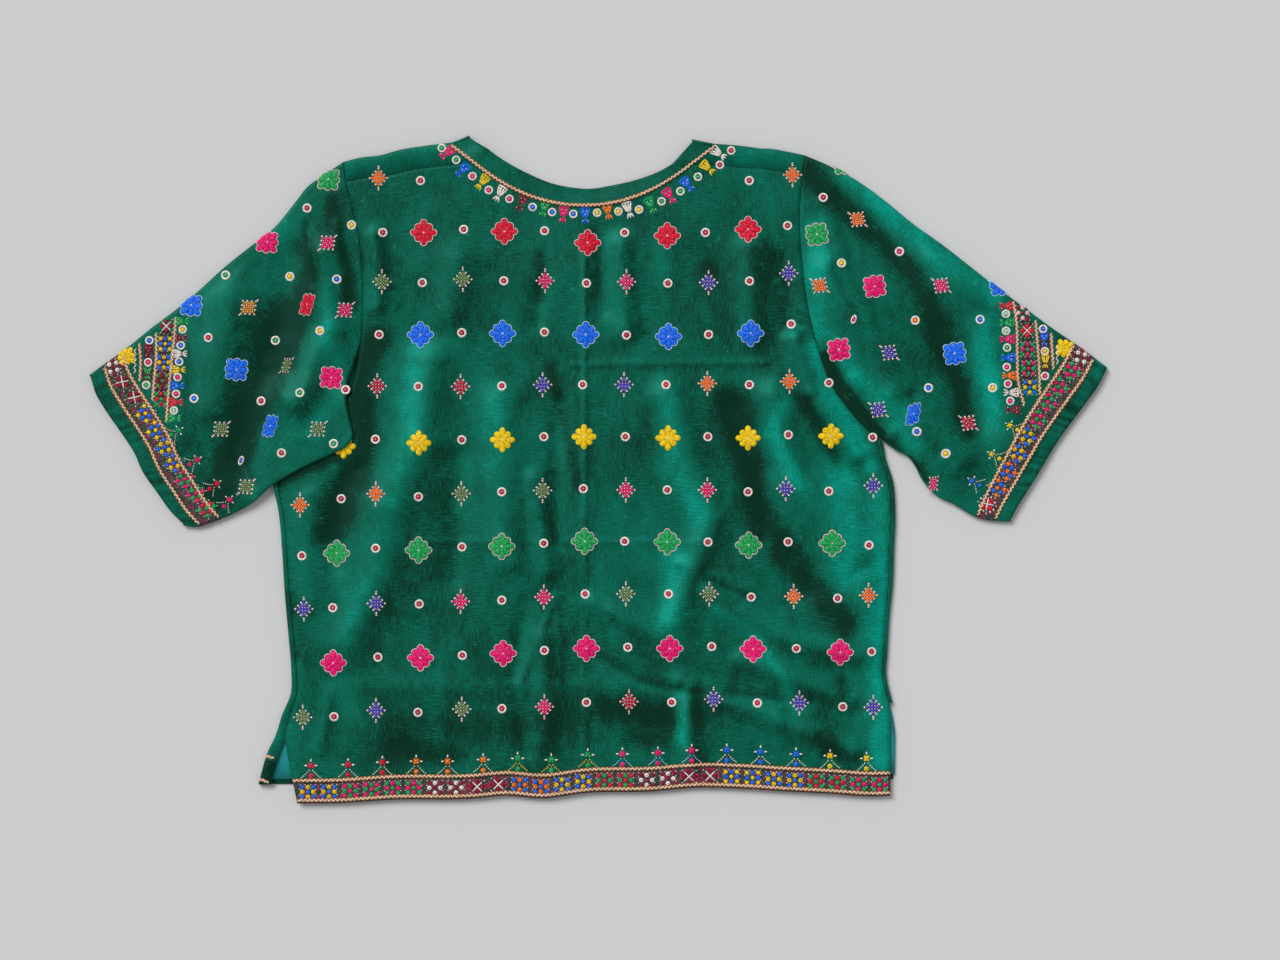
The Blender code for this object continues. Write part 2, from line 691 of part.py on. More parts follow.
def build_lining(plan, lining):
    """The lining that shows in the side vents, lying inside the front along its hem."""
    rows = plan[:, 0, 1] < LINING_TOP - SEAM_GAP
    flat = plan[rows].copy()
    low = down_by(flat[0], BORDER_HEIGHT - LINING_RISE)
    flat = np.concatenate([low[None], flat])
    flat[:, 0, 0] += SEAM_GAP
    flat[:, -1, 0] -= SEAM_GAP
    top = CLOTH + SEAM_GAP + LINING
    wall("front_lining", upright(flat, top), ways(flat.shape[:2], -1), lining, thick=LINING)


def build_neck(silk, gold):
    """The band round the neck: the back's half on top, the front's on the floor with its ends
    turned up over the shoulders, and the braid that covers the back's seam."""
    shares = neck_shares()
    outer = neckline(shares, NECK_BACK_DEPTH, False)
    table = np.array(NECK_EDGE)
    x = table[0, 0] + (table[-1, 0] - table[0, 0]) * shares
    inner = np.stack([x, np.interp(x, table[:, 0], table[:, 1])], axis=1)
    inner[[0, -1], 1] -= FOLD_RADIUS
    toward = (inner - outer) / np.linalg.norm(inner - outer, axis=1)[:, None]
    seam_side = outer + toward * SEAM_GAP
    steps = np.array([0.0, 0.5, 1.0])[:, None]
    band = seam_side[None] + (inner - seam_side)[None] * steps[..., None]
    sink = neck_drop(shares)
    z = EDGE_HEIGHT - sink[None] * (1 + NECK_BAND_SINK * steps)
    wall("neck_band_back", upright(band, z), ways(z.shape, -1), silk)

    braid = np.stack([outer - toward * BRAID_WIDTH / 2, outer + toward * BRAID_WIDTH / 2])
    braid_z = EDGE_HEIGHT - sink[None] + 2 * SEAM_GAP + BRAID_THICK
    wall("neck_braid", upright(braid, braid_z), ways((2, len(shares)), -1), gold, thick=BRAID_THICK)

    outer = neckline(np.linspace(0, 1, NECK_PLACES), NECK_FRONT_DEPTH, True)
    centre = (outer[0] + outer[-1]) / 2
    reach = np.linalg.norm(outer - centre, axis=1)[:, None]
    inner = centre + (outer - centre) * (reach - NECK_BAND) / reach
    inner[0], inner[-1] = down_by(table[0], FOLD_RADIUS), down_by(table[-1], FOLD_RADIUS)
    toward = (inner - outer) / np.linalg.norm(inner - outer, axis=1)[:, None]
    floor = np.stack([outer + toward * SEAM_GAP, inner], axis=1)
    up = np.tile([0.0, 1.0], (2, 1))
    (start, start_way), (stop, stop_way) = (
        turn(row, up, FOLD_RADIUS, EDGE_HEIGHT) for row in (floor[0], floor[-1])
    )
    for points in (start, stop):
        points[-1, :, 1] += SEAM_GAP
    flat = upright(floor, 0.0)
    grid = np.concatenate([start[:0:-1], flat, stop[1:]])
    way = np.concatenate([start_way[:0:-1], ways(flat.shape[:2], 1), stop_way[1:]])
    wall("neck_band_front", grid, way, silk)


def flap_lift(x, y):
    """How much higher the left sleeve lies where its flap is on the body."""
    across = smooth((x - LIFT_X[0]) / (LIFT_X[1] - LIFT_X[0]))
    return FLAP_LIFT * across * smooth((y - LIFT_Y[0]) / (LIFT_Y[1] - LIFT_Y[0]))


def pulled(curve, start, stop):
    """The curve with its ends drawn to start and stop, fading quickly along it."""
    share = np.linspace(0, 1, len(curve))[:, None]
    return curve + (start - curve[0]) * (1 - share) ** 6 + (stop - curve[-1]) * share**6


def even_at_cuff(edge, length, share):
    """Places along a sleeve's underarm edge for its rows. Near the cuff they are as far apart
    as on the top fold, which has the given length, so that the cuff's strips keep their width."""
    own = np.linalg.norm(np.diff(along(edge, np.linspace(0, 1, 60)), axis=0), axis=1).sum()
    back = 1 - share
    return share - (length / own - 1) * back * share**3


def sleeve_sheet(side):
    """A sleeve as one sheet: the margin under its underarm edge, the upper layer, the turn at
    its top fold and the lower layer, in rows from the armhole to the cuff."""
    left = side == "left"
    top = SLEEVE_LEFT_TOP if left else SLEEVE_RIGHT_TOP
    cuff = SLEEVE_LEFT_CUFF if left else SLEEVE_RIGHT_CUFF
    edge = SLEEVE_LEFT_FLAP if left else SLEEVE_RIGHT_EDGE
    share = np.linspace(0, 1, SLEEVE_ROWS)
    hole = armhole(side, -SEAM_GAP / 2)[::-1]
    handed = -1.0 if left else 1.0
    top_edge = along(top, share)
    fold_length = np.linalg.norm(np.diff(top_edge, axis=0), axis=1).sum()
    under_edge = along(edge, even_at_cuff(edge, fold_length, share))
    top_out, edge_out = -outward(top_edge) * handed, outward(under_edge) * handed
    top_out[0] = (0.0, 1.0)
    top_in = top_edge - top_out * FOLD_RADIUS
    top_in[0] = hole[0]
    under_in = under_edge - edge_out * UNDERARM_RADIUS
    underarm = np.array(SIDES[-1])
    floor_end = underarm[[1, 0]] if left else underarm[[4, 3]]
    floor_end = floor_end + [handed * 2 * SEAM_GAP, 2 * SEAM_GAP]
    if left:
        upper_hole = np.concatenate([hole[: len(hole) - FLAP_ROW - 1], [under_in[0]]])
        lower_edge = along(SLEEVE_LEFT_UNDER, even_at_cuff(SLEEVE_LEFT_UNDER, fold_length, share))
    else:
        upper_hole = np.concatenate([hole, [under_in[0]]])
        lower_edge = under_in
    lower_edge = pulled(lower_edge, floor_end, lower_edge[-1])
    plans = []
    lower_hole = np.concatenate([hole[:-1] if left else hole, [floor_end]])
    for start, far in ((upper_hole, under_in), (lower_hole, lower_edge)):
        step = np.linalg.norm(np.diff(start, axis=0), axis=1)
        places = np.concatenate([[0.0], np.cumsum(step)]) / step.sum()
        stop = pulled(along(cuff, places), top_in[-1], far[-1])
        plans.append((coons(start, stop, top_in, far, places, share), places))
    (upper, across), (lower, _) = plans
    width = np.linalg.norm(upper[:, -1] - upper[:, 0], axis=1)[:, None]
    from_edge = np.minimum(across[None], 1 - across[None]) * width
    length = np.linalg.norm(top_edge[-1] - top_edge[0])
    pinned = smooth(from_edge / PIN) * smooth(share[:, None] * length / PIN)
    z = EDGE_HEIGHT + pinned * relief(SLEEVE_FOLDS, upper[..., 0], upper[..., 1])
    z = np.maximum(z, LOWEST_BACK)
    if left:
        z = z + flap_lift(upper[..., 0], upper[..., 1])
    edge_turn, edge_way = turn(upper[:, -1], edge_out, UNDERARM_RADIUS, z[:, -1])
    tuck = edge_turn[0].copy()
    tuck[:, :2] -= edge_out * TUCK
    fold_turn, fold_way = turn(upper[:, 0], top_out, FOLD_RADIUS, z[:, 0], rising=False)
    sheet = np.concatenate(
        [
            tuck[:, None],
            edge_turn.transpose(1, 0, 2)[:, :-1],
            upright(upper, z)[:, ::-1],
            fold_turn.transpose(1, 0, 2)[:, 1:-1],
            upright(lower, 0.0),
        ],
        axis=1,
    )
    way = np.concatenate(
        [
            ways((SLEEVE_ROWS, 1), 1),
            edge_way.transpose(1, 0, 2)[:, :-1],
            ways(upper.shape[:2], -1),
            fold_way.transpose(1, 0, 2)[:, 1:-1],
            ways(lower.shape[:2], 1),
        ],
        axis=1,
    )
    return sheet, way, slice(FOLD_STEPS + 1, FOLD_STEPS + 1 + upper.shape[1])


def cut_rows(sheet, way, start, stop):
    """The part of a sleeve's sheet between two places along it. A place is a distance back
    from the cuff, or None for the sheet's own end."""
    step = np.linalg.norm(np.diff(sheet, axis=0), axis=2).mean(axis=1)
    marks = np.concatenate([np.cumsum(step[::-1])[::-1], [0.0]])
    high = marks[0] if start is None else start
    inside = marks[(marks < high - SHORTEST_CELL) & (marks > stop + SHORTEST_CELL)]
    places = np.concatenate([[high], inside, [stop]])
    if len(places) == 2:
        places = np.array([high, (high + stop) / 2, stop])

    def at(values):
        flat = values.reshape(len(marks), -1)
        made = np.stack([np.interp(-places, -marks, flat[:, k]) for k in range(flat.shape[1])], 1)
        return made.reshape(len(places), *values.shape[1:])

    return at(sheet), at(way)


def build_sleeve(side, silk, border, gold):
    sheet, way, shown = sleeve_sheet(side)
    band_end = CUFF_BAND + SEAM_GAP
    border_end = CUFF_BAND + CUFF_BORDER
    wall(f"sleeve_{side}", *cut_rows(sheet, way, None, border_end + SEAM_GAP), silk)
    wall(f"cuff_border_{side}", *cut_rows(sheet, way, border_end, band_end), border)
    wall(f"cuff_band_{side}", *cut_rows(sheet, way, CUFF_BAND, 0.0), silk)
    for name, place in (("outer", CUFF_BAND), ("inner", border_end)):
        high, low = place + BRAID_WIDTH / 2, place - BRAID_WIDTH / 2
        strip, _ = cut_rows(sheet[:, shown], way[:, shown], high, low)
        z = strip[..., 2].max(axis=0) + SEAM_GAP + BRAID_THICK
        strip = upright(strip[[0, -1], :, :2], z)
        wall(f"cuff_braid_{name}_{side}", strip, ways(strip.shape[:2], -1), gold, thick=BRAID_THICK)


def clear_scene():
    for found in list(bpy.data.objects):
        bpy.data.objects.remove(found, do_unlink=True)
    collection = bpy.data.collections.new("choli_blouse")
    bpy.context.scene.collection.children.link(collection)


def main():
    clear_scene()
    silk = make_material("green_silk", SILK, 0.38)
    border = make_material("mirror_border", BORDER_CLOTH, 0.5)
    gold = make_material("gold_braid", GOLD_THREAD, 0.4, 0.3)
    lining = make_material("turquoise_lining", LINING_CLOTH, 0.45)
    build_back(silk, border, gold)
    build_front(silk, border, lining)
    build_neck(silk, gold)
    for side in ("left", "right"):
        build_sleeve(side, silk, border, gold)


main()
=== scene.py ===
"""The looks of a choli blouse of embroidered shot silk, lying flat with its back uppermost.

Sizes are in millimetres until a mesh is made. +X is to the right of someone who looks down
on the blouse with its neck at the top, +Y is towards the neck and +Z is up. Every sheet of
cloth is a grid of points worked out from named tables, given a thickness, and the stitches
are small shapes laid on it in arrays.
"""

import math

import bpy
import numpy as np
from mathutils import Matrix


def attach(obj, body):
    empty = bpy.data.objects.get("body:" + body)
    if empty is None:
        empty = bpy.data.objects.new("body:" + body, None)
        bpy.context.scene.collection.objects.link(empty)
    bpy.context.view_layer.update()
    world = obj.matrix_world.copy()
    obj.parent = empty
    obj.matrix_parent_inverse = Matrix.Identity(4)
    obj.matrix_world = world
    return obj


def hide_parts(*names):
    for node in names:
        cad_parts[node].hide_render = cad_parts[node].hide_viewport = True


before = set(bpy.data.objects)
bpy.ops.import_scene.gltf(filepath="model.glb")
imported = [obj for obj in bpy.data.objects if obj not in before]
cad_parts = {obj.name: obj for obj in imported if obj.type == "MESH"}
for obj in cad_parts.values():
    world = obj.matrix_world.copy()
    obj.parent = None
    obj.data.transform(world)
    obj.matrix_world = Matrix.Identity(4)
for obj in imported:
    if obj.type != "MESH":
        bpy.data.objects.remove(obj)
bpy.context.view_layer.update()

MM = 0.001
CLOTH = 1.2  # silk and lining together, which sets how the layers lie on each other
SHELL = 0.8  # how thick a layer looks at its edge
SEAM_GAP = 0.3
EDGE_HEIGHT = 5.2  # outer height of a folded edge, front layer to back layer
FOLD_RADIUS = EDGE_HEIGHT / 2
UNDERARM_RADIUS = (EDGE_HEIGHT - CLOTH - SEAM_GAP) / 2
FLAP_LIFT = 4.0  # the left sleeve's flap lies on the body, this much higher
LOWEST_BACK = 2 * CLOTH + SEAM_GAP + 0.2
LOWEST_OVER_LINING = 4.1
FOLD_STEPS = 8
TUCK = 4.0  # the hidden margin under a sleeve's underarm edge
CELL = 2.6  # cloth cells of the back
FRONT_CELL = 5.0
NECK_PLACES = 84
SLEEVE_ROWS = 96
BAND_STEPS = 9
SHORTEST_CELL = 0.6
LINING = 1.0
LINING_TOP = -190.0
LINING_RISE = 4.0  # the lining ends this far above the hem
BORDER_HEIGHT = 18.5
NECK_BAND = 14.0
CUFF_BAND = 13.4
CUFF_BORDER = 17.4
SHOULDER_STRIP = 16.0  # the front turns over the shoulder by this much
BRAID_WIDTH = 3.2
BRAID_THICK = 1.0
BRAID_INSET = 1.0

# The body's sides from the vents up to the underarm. Fold is the folded edge of the front
# layer, and margin the end of its turned edge, where the back is sewn to it.
SIDES = (
    # y left, fold left, margin left, y right, fold right, margin right
    (-214.0, -258.8, -250.3, -186.0, 235.2, 232.0), (-196.0, -253.0, -246.4, -176.0, 232.4, 229.0),
    (-178.0, -245.8, -240.8, -162.0, 230.0, 226.4), (-160.0, -245.6, -241.2, -146.0, 231.0, 227.4),
    (-130.0, -248.0, -243.8, -118.0, 232.6, 229.0), (-98.0, -250.8, -246.8, -90.0, 235.4, 231.6),
    (-66.0, -252.8, -248.9, -62.0, 236.4, 232.5), (-34.0, -255.6, -251.7, -34.0, 237.4, 233.5),
    (-8.0, -260.6, -256.8, -8.0, 235.2, 231.3), (8.0, -261.0, -257.4, 10.0, 229.4, 225.6),
    (22.0, -261.0, -257.6, 24.0, 226.2, 222.6),
)
# Below the vents the layers part: the front's edge and turned margin, and the back's edge.
FRONT_VENTS = (
    # y left, fold left, margin left, y right, edge right
    (-251.2, -271.8, -260.4, -247.0, 235.6), (-232.7, -267.0, -256.8, -228.5, 237.0),
    (-223.0, -263.4, -253.6, -207.0, 236.8),
)
BACK_VENTS = (
    # y left, left, y right, right
    (-266.4, -240.4, -260.2, 233.0), (-247.0, -244.0, -241.0, 233.0),
    (-236.0, -246.6, -224.0, 233.0), (-225.0, -248.6, -205.0, 232.6),
)
# The armhole seams above the underarm, left and right. The last two rows are where the
# shoulder seam meets them and where the shoulder fold begins.
ARMHOLES = (
    # x left, y left, x right, y right
    (-232.0, 29.0, 214.8, 32.0), (-214.0, 39.0, 205.2, 42.0), (-205.0, 50.0, 194.0, 56.0),
    (-198.5, 64.0, 185.0, 70.0), (-194.0, 80.0, 179.6, 84.0), (-190.8, 98.0, 171.4, 112.0),
    (-188.6, 134.0, 165.6, 140.0), (-189.2, 166.0, 162.4, 168.0), (-192.6, 193.0, 160.6, 194.0),
    (-197.6, 212.0, 161.0, 214.0), (-201.8, 230.4, 163.0, 236.0), (-203.4, 243.8, 164.6, 249.0),
)
FLAP_ROW = 5  # the left armhole's row where the flap begins
# The shoulder folds, each from the armhole to the neck.
SHOULDER_LEFT = (
    # x, y
    (-203.4, 246.4), (-190.4, 249.6), (-174.4, 251.6), (-158.4, 256.0), (-142.4, 258.6),
    (-117.2, 261.8),
)
SHOULDER_RIGHT = (
    # x, y
    (164.6, 251.6), (150.4, 254.6), (139.2, 256.6), (128.0, 257.2), (116.8, 258.8), (92.4, 260.8),
)
# The back's lower edge, which waves.
HEM_BACK = (
    # x, y
    (-240.4, -266.4), (-203.2, -265.8), (-168.0, -263.4), (-97.6, -262.2), (-74.0, -260.0),
    (-44.8, -262.2), (-9.6, -257.8), (43.2, -256.6), (78.4, -253.6), (113.6, -254.4),
    (148.8, -256.6), (184.0, -258.4), (219.2, -260.6), (233.0, -260.2),
)
# The necklines run from one shoulder fold to the other: the back's is shallow, the front's
# deep. The last table is the free edge of the back's neck band.
NECK_BACK_DEPTH = 49.8
NECK_BACK_POWER = 2.1
NECK_FRONT_DEPTH = 124.0
NECK_EDGE = (
    # x, y
    (-102.8, 267.4), (-94.4, 261.8), (-84.8, 253.8), (-75.2, 247.2), (-56.0, 236.8),
    (-36.8, 229.0), (-17.6, 225.4), (-8.0, 224.8), (11.2, 227.6), (30.4, 232.0), (49.6, 239.2),
    (59.2, 244.8), (66.4, 252.6), (74.8, 264.4),
)
# The sleeves: the folded top edge from the shoulder to the cuff, the cuff's edge from the
# top down, and the underarm edge from the body, which on the left is the flap's.
SLEEVE_LEFT_TOP = (
    # x, y
    (-203.4, 246.4), (-222.4, 233.8), (-232.0, 226.8), (-241.6, 214.8), (-260.8, 192.0),
    (-280.0, 177.2), (-299.2, 161.8), (-318.4, 144.2), (-337.6, 128.2), (-356.8, 113.8),
    (-376.0, 98.2), (-395.2, 84.4), (-406.8, 76.0),
)
SLEEVE_LEFT_CUFF = (
    # x, y
    (-406.8, 76.0), (-402.0, 62.0), (-392.4, 46.0), (-381.2, 30.0), (-370.8, 14.0), (-363.6, -2.0),
    (-352.6, -18.0), (-341.6, -34.0), (-331.6, -44.6),
)
SLEEVE_LEFT_FLAP = (
    # x, y
    (-190.8, 98.0), (-195.6, 83.0), (-200.6, 68.0), (-200.6, 52.0), (-197.2, 36.0), (-196.2, 25.0),
    (-201.0, 18.6), (-213.0, 12.6), (-237.0, 1.2), (-261.6, -13.6), (-276.8, -26.8),
    (-292.8, -35.6), (-308.8, -42.0), (-320.0, -45.6), (-331.6, -44.6),
)
SLEEVE_LEFT_UNDER = (
    # x, y
    (-261.6, 22.8), (-272.0, 16.0), (-283.0, 3.0), (-294.0, -12.0), (-306.0, -26.0),
    (-318.0, -36.0), (-330.0, -42.6),
)
SLEEVE_RIGHT_TOP = (
    # x, y
    (164.6, 251.6), (184.0, 243.4), (206.4, 231.4), (228.8, 215.4), (251.2, 197.0), (273.6, 181.0),
    (296.0, 163.6), (318.4, 146.0), (340.8, 129.6), (363.2, 113.0), (385.6, 97.8), (406.8, 81.8),
)
SLEEVE_RIGHT_CUFF = (
    # x, y
    (406.8, 81.8), (399.8, 68.4), (388.4, 52.4), (376.4, 36.4), (365.2, 20.4), (355.6, 4.4),
    (346.0, -11.6), (336.4, -27.6), (329.2, -41.4),
)
SLEEVE_RIGHT_EDGE = (
    # x, y
    (224.6, 25.6), (231.6, 20.0), (238.4, 15.2), (245.0, 12.2), (251.2, 6.4), (257.6, -6.4),
    (264.0, -14.8), (272.0, -21.8), (283.2, -27.0), (292.0, -32.4), (302.4, -38.0), (315.0, -40.6),
    (329.2, -41.4),
)
# Where the flap rises off the sleeve onto the body: full lift right of and below these.
FLAP_CORNER = (-200.0, 18.0)
FLAP_SLOPE = 0.5
FLAP_FADE = 11.0
FLAP_HIGHEST = 104.0
LIFT_X = (-292.0, -264.0)
LIFT_Y = (82.0, 55.0)

# The large folds of the back and the sleeves: soft ridges, and troughs where height is
# negative, each along a straight stretch.
BODY_FOLDS = (
    # x0, y0, x1, y1, half width, height
    (-132.4, 85.6, -142.8, 21.6, 16.0, 4.2), (-142.8, 21.6, -169.2, -32.0, 18.0, 4.6),
    (-169.2, -32.0, -180.4, -96.0, 18.0, 4.2), (-180.4, -96.0, -201.2, -138.4, 15.0, 3.2),
    (-192.0, 44.0, -201.2, -10.4, 11.0, -2.0), (-201.2, -10.4, -212.4, -58.4, 11.0, -2.0),
    (-230.8, -24.0, -232.0, -104.0, 12.0, 2.0), (-110.8, 10.4, -116.4, -85.6, 10.0, -2.0),
    (-78.8, 56.0, -74.8, -72.0, 14.0, 3.2), (-33.2, 53.6, -33.2, -58.4, 7.0, -1.8),
    (-50.8, -8.0, -40.4, -80.0, 9.0, 2.6), (54.8, 58.4, 91.6, -37.6, 13.0, 4.4),
    (91.6, -37.6, 59.6, -122.4, 12.0, 3.6), (107.6, 48.0, 129.2, 0.0, 10.0, -2.0),
    (129.2, 0.0, 134.8, -53.6, 10.0, -2.2), (134.8, -53.6, 166.8, -96.0, 11.0, -2.0),
    (139.6, 58.4, 155.6, -10.4, 12.0, 5.0), (155.6, -10.4, 205.0, -66.0, 15.0, 4.0),
    (214.0, -88.0, 214.0, -144.0, 11.0, 2.6), (84.0, -96.0, 156.0, -138.0, 8.0, 3.0),
    (156.0, -138.0, 206.0, -148.0, 8.0, 2.4), (-4.4, -106.4, 49.2, -133.6, 8.0, 2.6),
    (-57.2, -106.4, -68.4, -165.6, 7.0, -1.8), (-68.4, -165.6, -57.2, -224.0, 7.0, -1.8),
    (-42.8, -136.0, -42.8, -216.0, 9.0, 2.6), (-196.4, -174.0, 57.2, -174.0, 8.0, 0.7),
    (-170.0, -224.0, -110.0, -228.0, 14.0, -1.0), (30.0, -196.0, 52.0, -214.0, 10.0, -1.0),
    (72.0, -176.0, 74.0, -236.0, 8.0, 4.2), (66.0, -170.0, 145.2, -202.4, 8.0, 3.0),
    (145.2, -202.4, 203.6, -224.0, 8.0, 3.0), (113.2, -152.0, 201.2, -184.0, 8.0, 2.6),
    (1.2, 190.0, 3.6, 128.0, 8.0, -1.8), (18.8, 180.0, 22.8, 112.0, 9.0, 3.2),
    (-46.8, 144.0, -49.2, 118.0, 7.0, -1.6), (-110.8, 165.6, -118.0, 126.0, 15.0, 3.2),
    (121.2, 176.0, 125.2, 112.0, 12.0, 3.6), (143.0, 165.6, 152.0, 116.0, 8.0, -2.0),
    (157.0, 104.0, 170.0, 62.0, 8.0, 5.6), (170.0, 62.0, 206.0, 12.0, 8.0, 5.6),
    (-178.0, 188.0, -176.0, 132.0, 7.0, 3.0),
)
SLEEVE_FOLDS = (
    # x0, y0, x1, y1, half width, height
    (-219.0, 172.0, -212.4, 112.0, 11.0, 5.0), (-212.4, 112.0, -238.8, 56.0, 13.0, 4.4),
    (-246.8, 170.4, -254.8, 112.0, 12.0, -2.0), (-254.8, 112.0, -282.0, 10.4, 12.0, -2.0),
    (-294.8, 136.0, -306.8, 50.0, 18.0, 4.2), (-340.0, 92.0, -330.0, 30.0, 14.0, 2.2),
    (182.8, 160.0, 235.6, 62.0, 14.0, 5.4), (235.6, 62.0, 289.2, 10.4, 14.0, 5.0),
    (225.2, 197.6, 273.2, 112.0, 13.0, -2.0), (273.2, 112.0, 303.0, 40.0, 13.0, -2.0),
    (269.2, 168.0, 321.2, 72.0, 14.0, 3.6), (321.2, 72.0, 330.0, 20.0, 13.0, 2.4),
    (190.0, 88.0, 228.0, 36.0, 8.0, -2.0),
)
NECK_SINK = 1.9
NECK_SINK_LENGTH = 70.0
NECK_BAND_SINK = 0.95
SHOULDER_SHARES = np.linspace(0, 1, 30)
PIN = 11.0  # folds die away over this distance from a sewn or folded edge

# Finer creases of the cloth, which the solids leave out.
FINE_FOLDS = (
    # x0, y0, x1, y1, half width, height
    (-10.8, 176.0, -10.8, -40.0, 2.6, 0.9), (-10.8, -40.0, -10.8, -228.0, 2.6, 0.6),
    (-20.4, 84.0, 134.8, 85.6, 3.0, 0.6), (-158.8, -57.6, 81.2, -57.6, 3.0, 0.5),
    (65.2, -74.4, 118.8, -96.0, 5.0, 1.6), (11.6, -112.0, 43.6, -133.6, 5.0, 1.4),
    (81.2, -106.4, 150.8, -138.4, 4.5, 1.3), (-4.4, -149.6, 33.2, -170.4, 5.0, -1.6),
    (33.2, -170.4, 59.6, -176.0, 5.0, -1.6), (59.6, -176.0, 166.8, -186.4, 5.0, -1.2),
    (67.6, -192.0, 73.2, -224.0, 4.0, 1.4), (-33.2, -101.6, -62.8, -170.4, 4.0, 0.9),
    (-33.2, -101.6, -30.8, -170.4, 4.0, 0.9), (193.2, -149.6, 209.2, -192.0, 6.0, -1.4),
    (177.2, -213.6, 182.8, -229.6, 4.0, -1.2), (129.2, -154.4, 145.2, -192.0, 5.0, 1.3),
    (-212.4, -176.0, -222.8, -224.0, 5.0, 1.3), (-206.8, -14.0, -208.8, -80.0, 5.0, -1.2),
    (-182.0, 186.0, -170.0, 160.0, 3.2, 1.5), (-181.0, 170.0, -166.0, 148.0, 3.2, 1.4),
    (-180.0, 152.0, -162.0, 132.0, 3.2, 1.3), (144.0, 150.0, 160.0, 120.0, 3.0, 1.4),
    (150.0, 128.0, 172.0, 96.0, 3.0, -1.2), (168.0, 90.0, 196.0, 44.0, 3.0, 1.4),
    (176.0, 74.0, 214.0, 20.0, 3.2, -1.4),
)
SLEEVE_FINE_FOLDS = (
    # x0, y0, x1, y1, half width, height
    (-209.0, 196.0, -204.0, 140.0, 4.0, 1.2), (-232.0, 196.0, -228.0, 150.0, 4.0, -1.0),
    (-300.0, 40.0, -276.0, -12.0, 5.0, -1.4), (-262.0, 84.0, -236.0, 26.0, 5.0, 1.2),
    (176.0, 214.0, 196.0, 176.0, 4.0, 1.0), (188.0, 160.0, 214.0, 112.0, 4.0, -1.2),
    (206.0, 74.0, 236.0, 30.0, 4.5, 1.6), (250.0, 60.0, 272.0, 14.0, 4.5, -1.2),
    (200.0, 56.0, 226.0, 32.0, 3.0, 1.4),
)
# Painted shade and highlight: bands where the silk's colour is painted lighter or darker than its
# heights alone make it, for the sheen and shade of its folds.
BODY_PAINTED_SHADE = (
    # half width, tone, then x and y of each place along the band
    (12.0, -3.6, (-178.0, 104.0), (-190.0, 75.0), (-190.0, 40.0), (-186.0, 25.0), (-198.0, -10.0),
        (-212.0, -50.0)),
    (5.0, -5.0, (-262.0, -12.5), (-238.0, 0.0), (-196.0, 15.5)),
    (13.0, 2.0, (-145.0, 98.0), (-148.0, 21.0), (-165.0, -28.0), (-176.0, -78.0),
        (-203.0, -133.0)),
    (12.0, 1.5, (-203.0, -150.0), (-203.0, -190.0)),
    (11.0, 1.3, (-79.0, 56.0), (-76.0, -72.0)),
    (11.0, 2.6, (58.0, 54.0), (60.0, 0.0), (85.0, -40.0)),
    (11.0, 2.4, (58.0, -67.0), (58.0, -133.0)),
    (12.0, -3.4, (105.0, 54.0), (122.0, 5.0), (127.0, -28.0), (150.0, -67.0), (177.0, -100.0),
        (199.0, -122.0)),
    (8.0, 3.4, (149.0, 54.0), (138.0, 32.0), (160.0, -12.0)),
    (18.0, 3.2, (194.0, -8.0), (199.0, -85.0)),
    (14.0, 3.6, (224.0, -20.0), (226.0, -130.0), (226.0, -230.0)),
    (8.0, 5.0, (170.0, 96.0), (183.0, 59.0), (203.0, 29.0), (216.0, 3.0)),
    (6.0, -3.0, (160.0, 59.0), (173.0, 39.0), (190.0, 9.0)),
    (6.0, -1.2, (146.0, 166.0), (152.0, 104.0)),
    (6.0, -1.2, (-2.0, 186.0), (-2.0, 140.0)),
    (4.5, -2.2, (-46.0, 170.0), (-46.0, 137.0)),
    (4.5, -1.8, (-38.0, 82.0), (-16.0, -12.0)),
    (6.0, -2.4, (89.0, 161.0), (89.0, 157.0)),
    (7.0, 1.8, (50.0, 181.0), (50.0, 154.0)),
    (14.0, -1.3, (-156.0, -204.0), (-92.0, -204.0)),
    (12.0, -1.2, (-58.0, -201.0), (-16.0, -202.0)),
    (12.0, -2.2, (-162.0, -221.0), (-116.0, -229.0)),
    (12.0, -3.2, (8.0, -191.0), (52.0, -199.0)),
    (9.0, -2.4, (26.0, -212.0), (52.0, -215.0)),
    (5.0, 3.0, (67.0, -180.0), (67.0, -216.0)),
    (6.0, 2.4, (150.0, -178.0), (160.0, -193.0)),
    (8.0, -3.0, (183.0, -214.0), (185.0, -219.0)),
    (6.0, -2.0, (193.0, -170.0), (195.0, -176.0)),
    (5.0, 2.4, (94.0, -111.0), (127.0, -133.0), (150.0, -172.0)),
)
# Painted shade and highlight on the sleeves, the same kind of bands as on the back.
SLEEVE_PAINTED_SHADE = (
    # half width, tone, then x and y of each place along the band
    (13.0, -3.4, (-229.0, 179.0), (-229.0, 155.0), (-242.0, 127.0), (-254.0, 84.0),
        (-272.0, 47.0), (-291.0, 10.0), (-303.0, -18.0)),
    (6.0, -3.0, (-211.0, 216.0), (-211.0, 185.0), (-198.5, 155.0), (-198.5, 133.0)),
    (9.0, 2.2, (-214.0, 165.0), (-214.0, 102.0), (-209.0, 56.0), (-232.0, 28.0)),
    (14.0, 1.8, (-248.0, 197.0), (-250.0, 191.0)),
    (13.0, 3.8, (203.0, 235.0), (253.0, 189.0), (276.0, 166.0), (313.0, 143.0)),
    (10.0, -2.7, (160.0, 243.0), (188.0, 219.0), (218.0, 189.0), (246.0, 163.0), (260.0, 137.0),
        (270.0, 113.0), (290.0, 69.0), (296.0, 33.0)),
    (11.0, 3.4, (173.0, 193.0), (173.0, 116.0), (203.0, 76.0), (240.0, 43.0), (250.0, 20.0)),
    (12.0, 3.2, (305.0, 119.0), (313.0, 69.0), (313.0, 36.0)),
    (8.0, -4.0, (183.0, 89.0), (196.0, 63.0), (220.0, 29.0), (233.0, 16.0), (256.0, -7.0)),
)

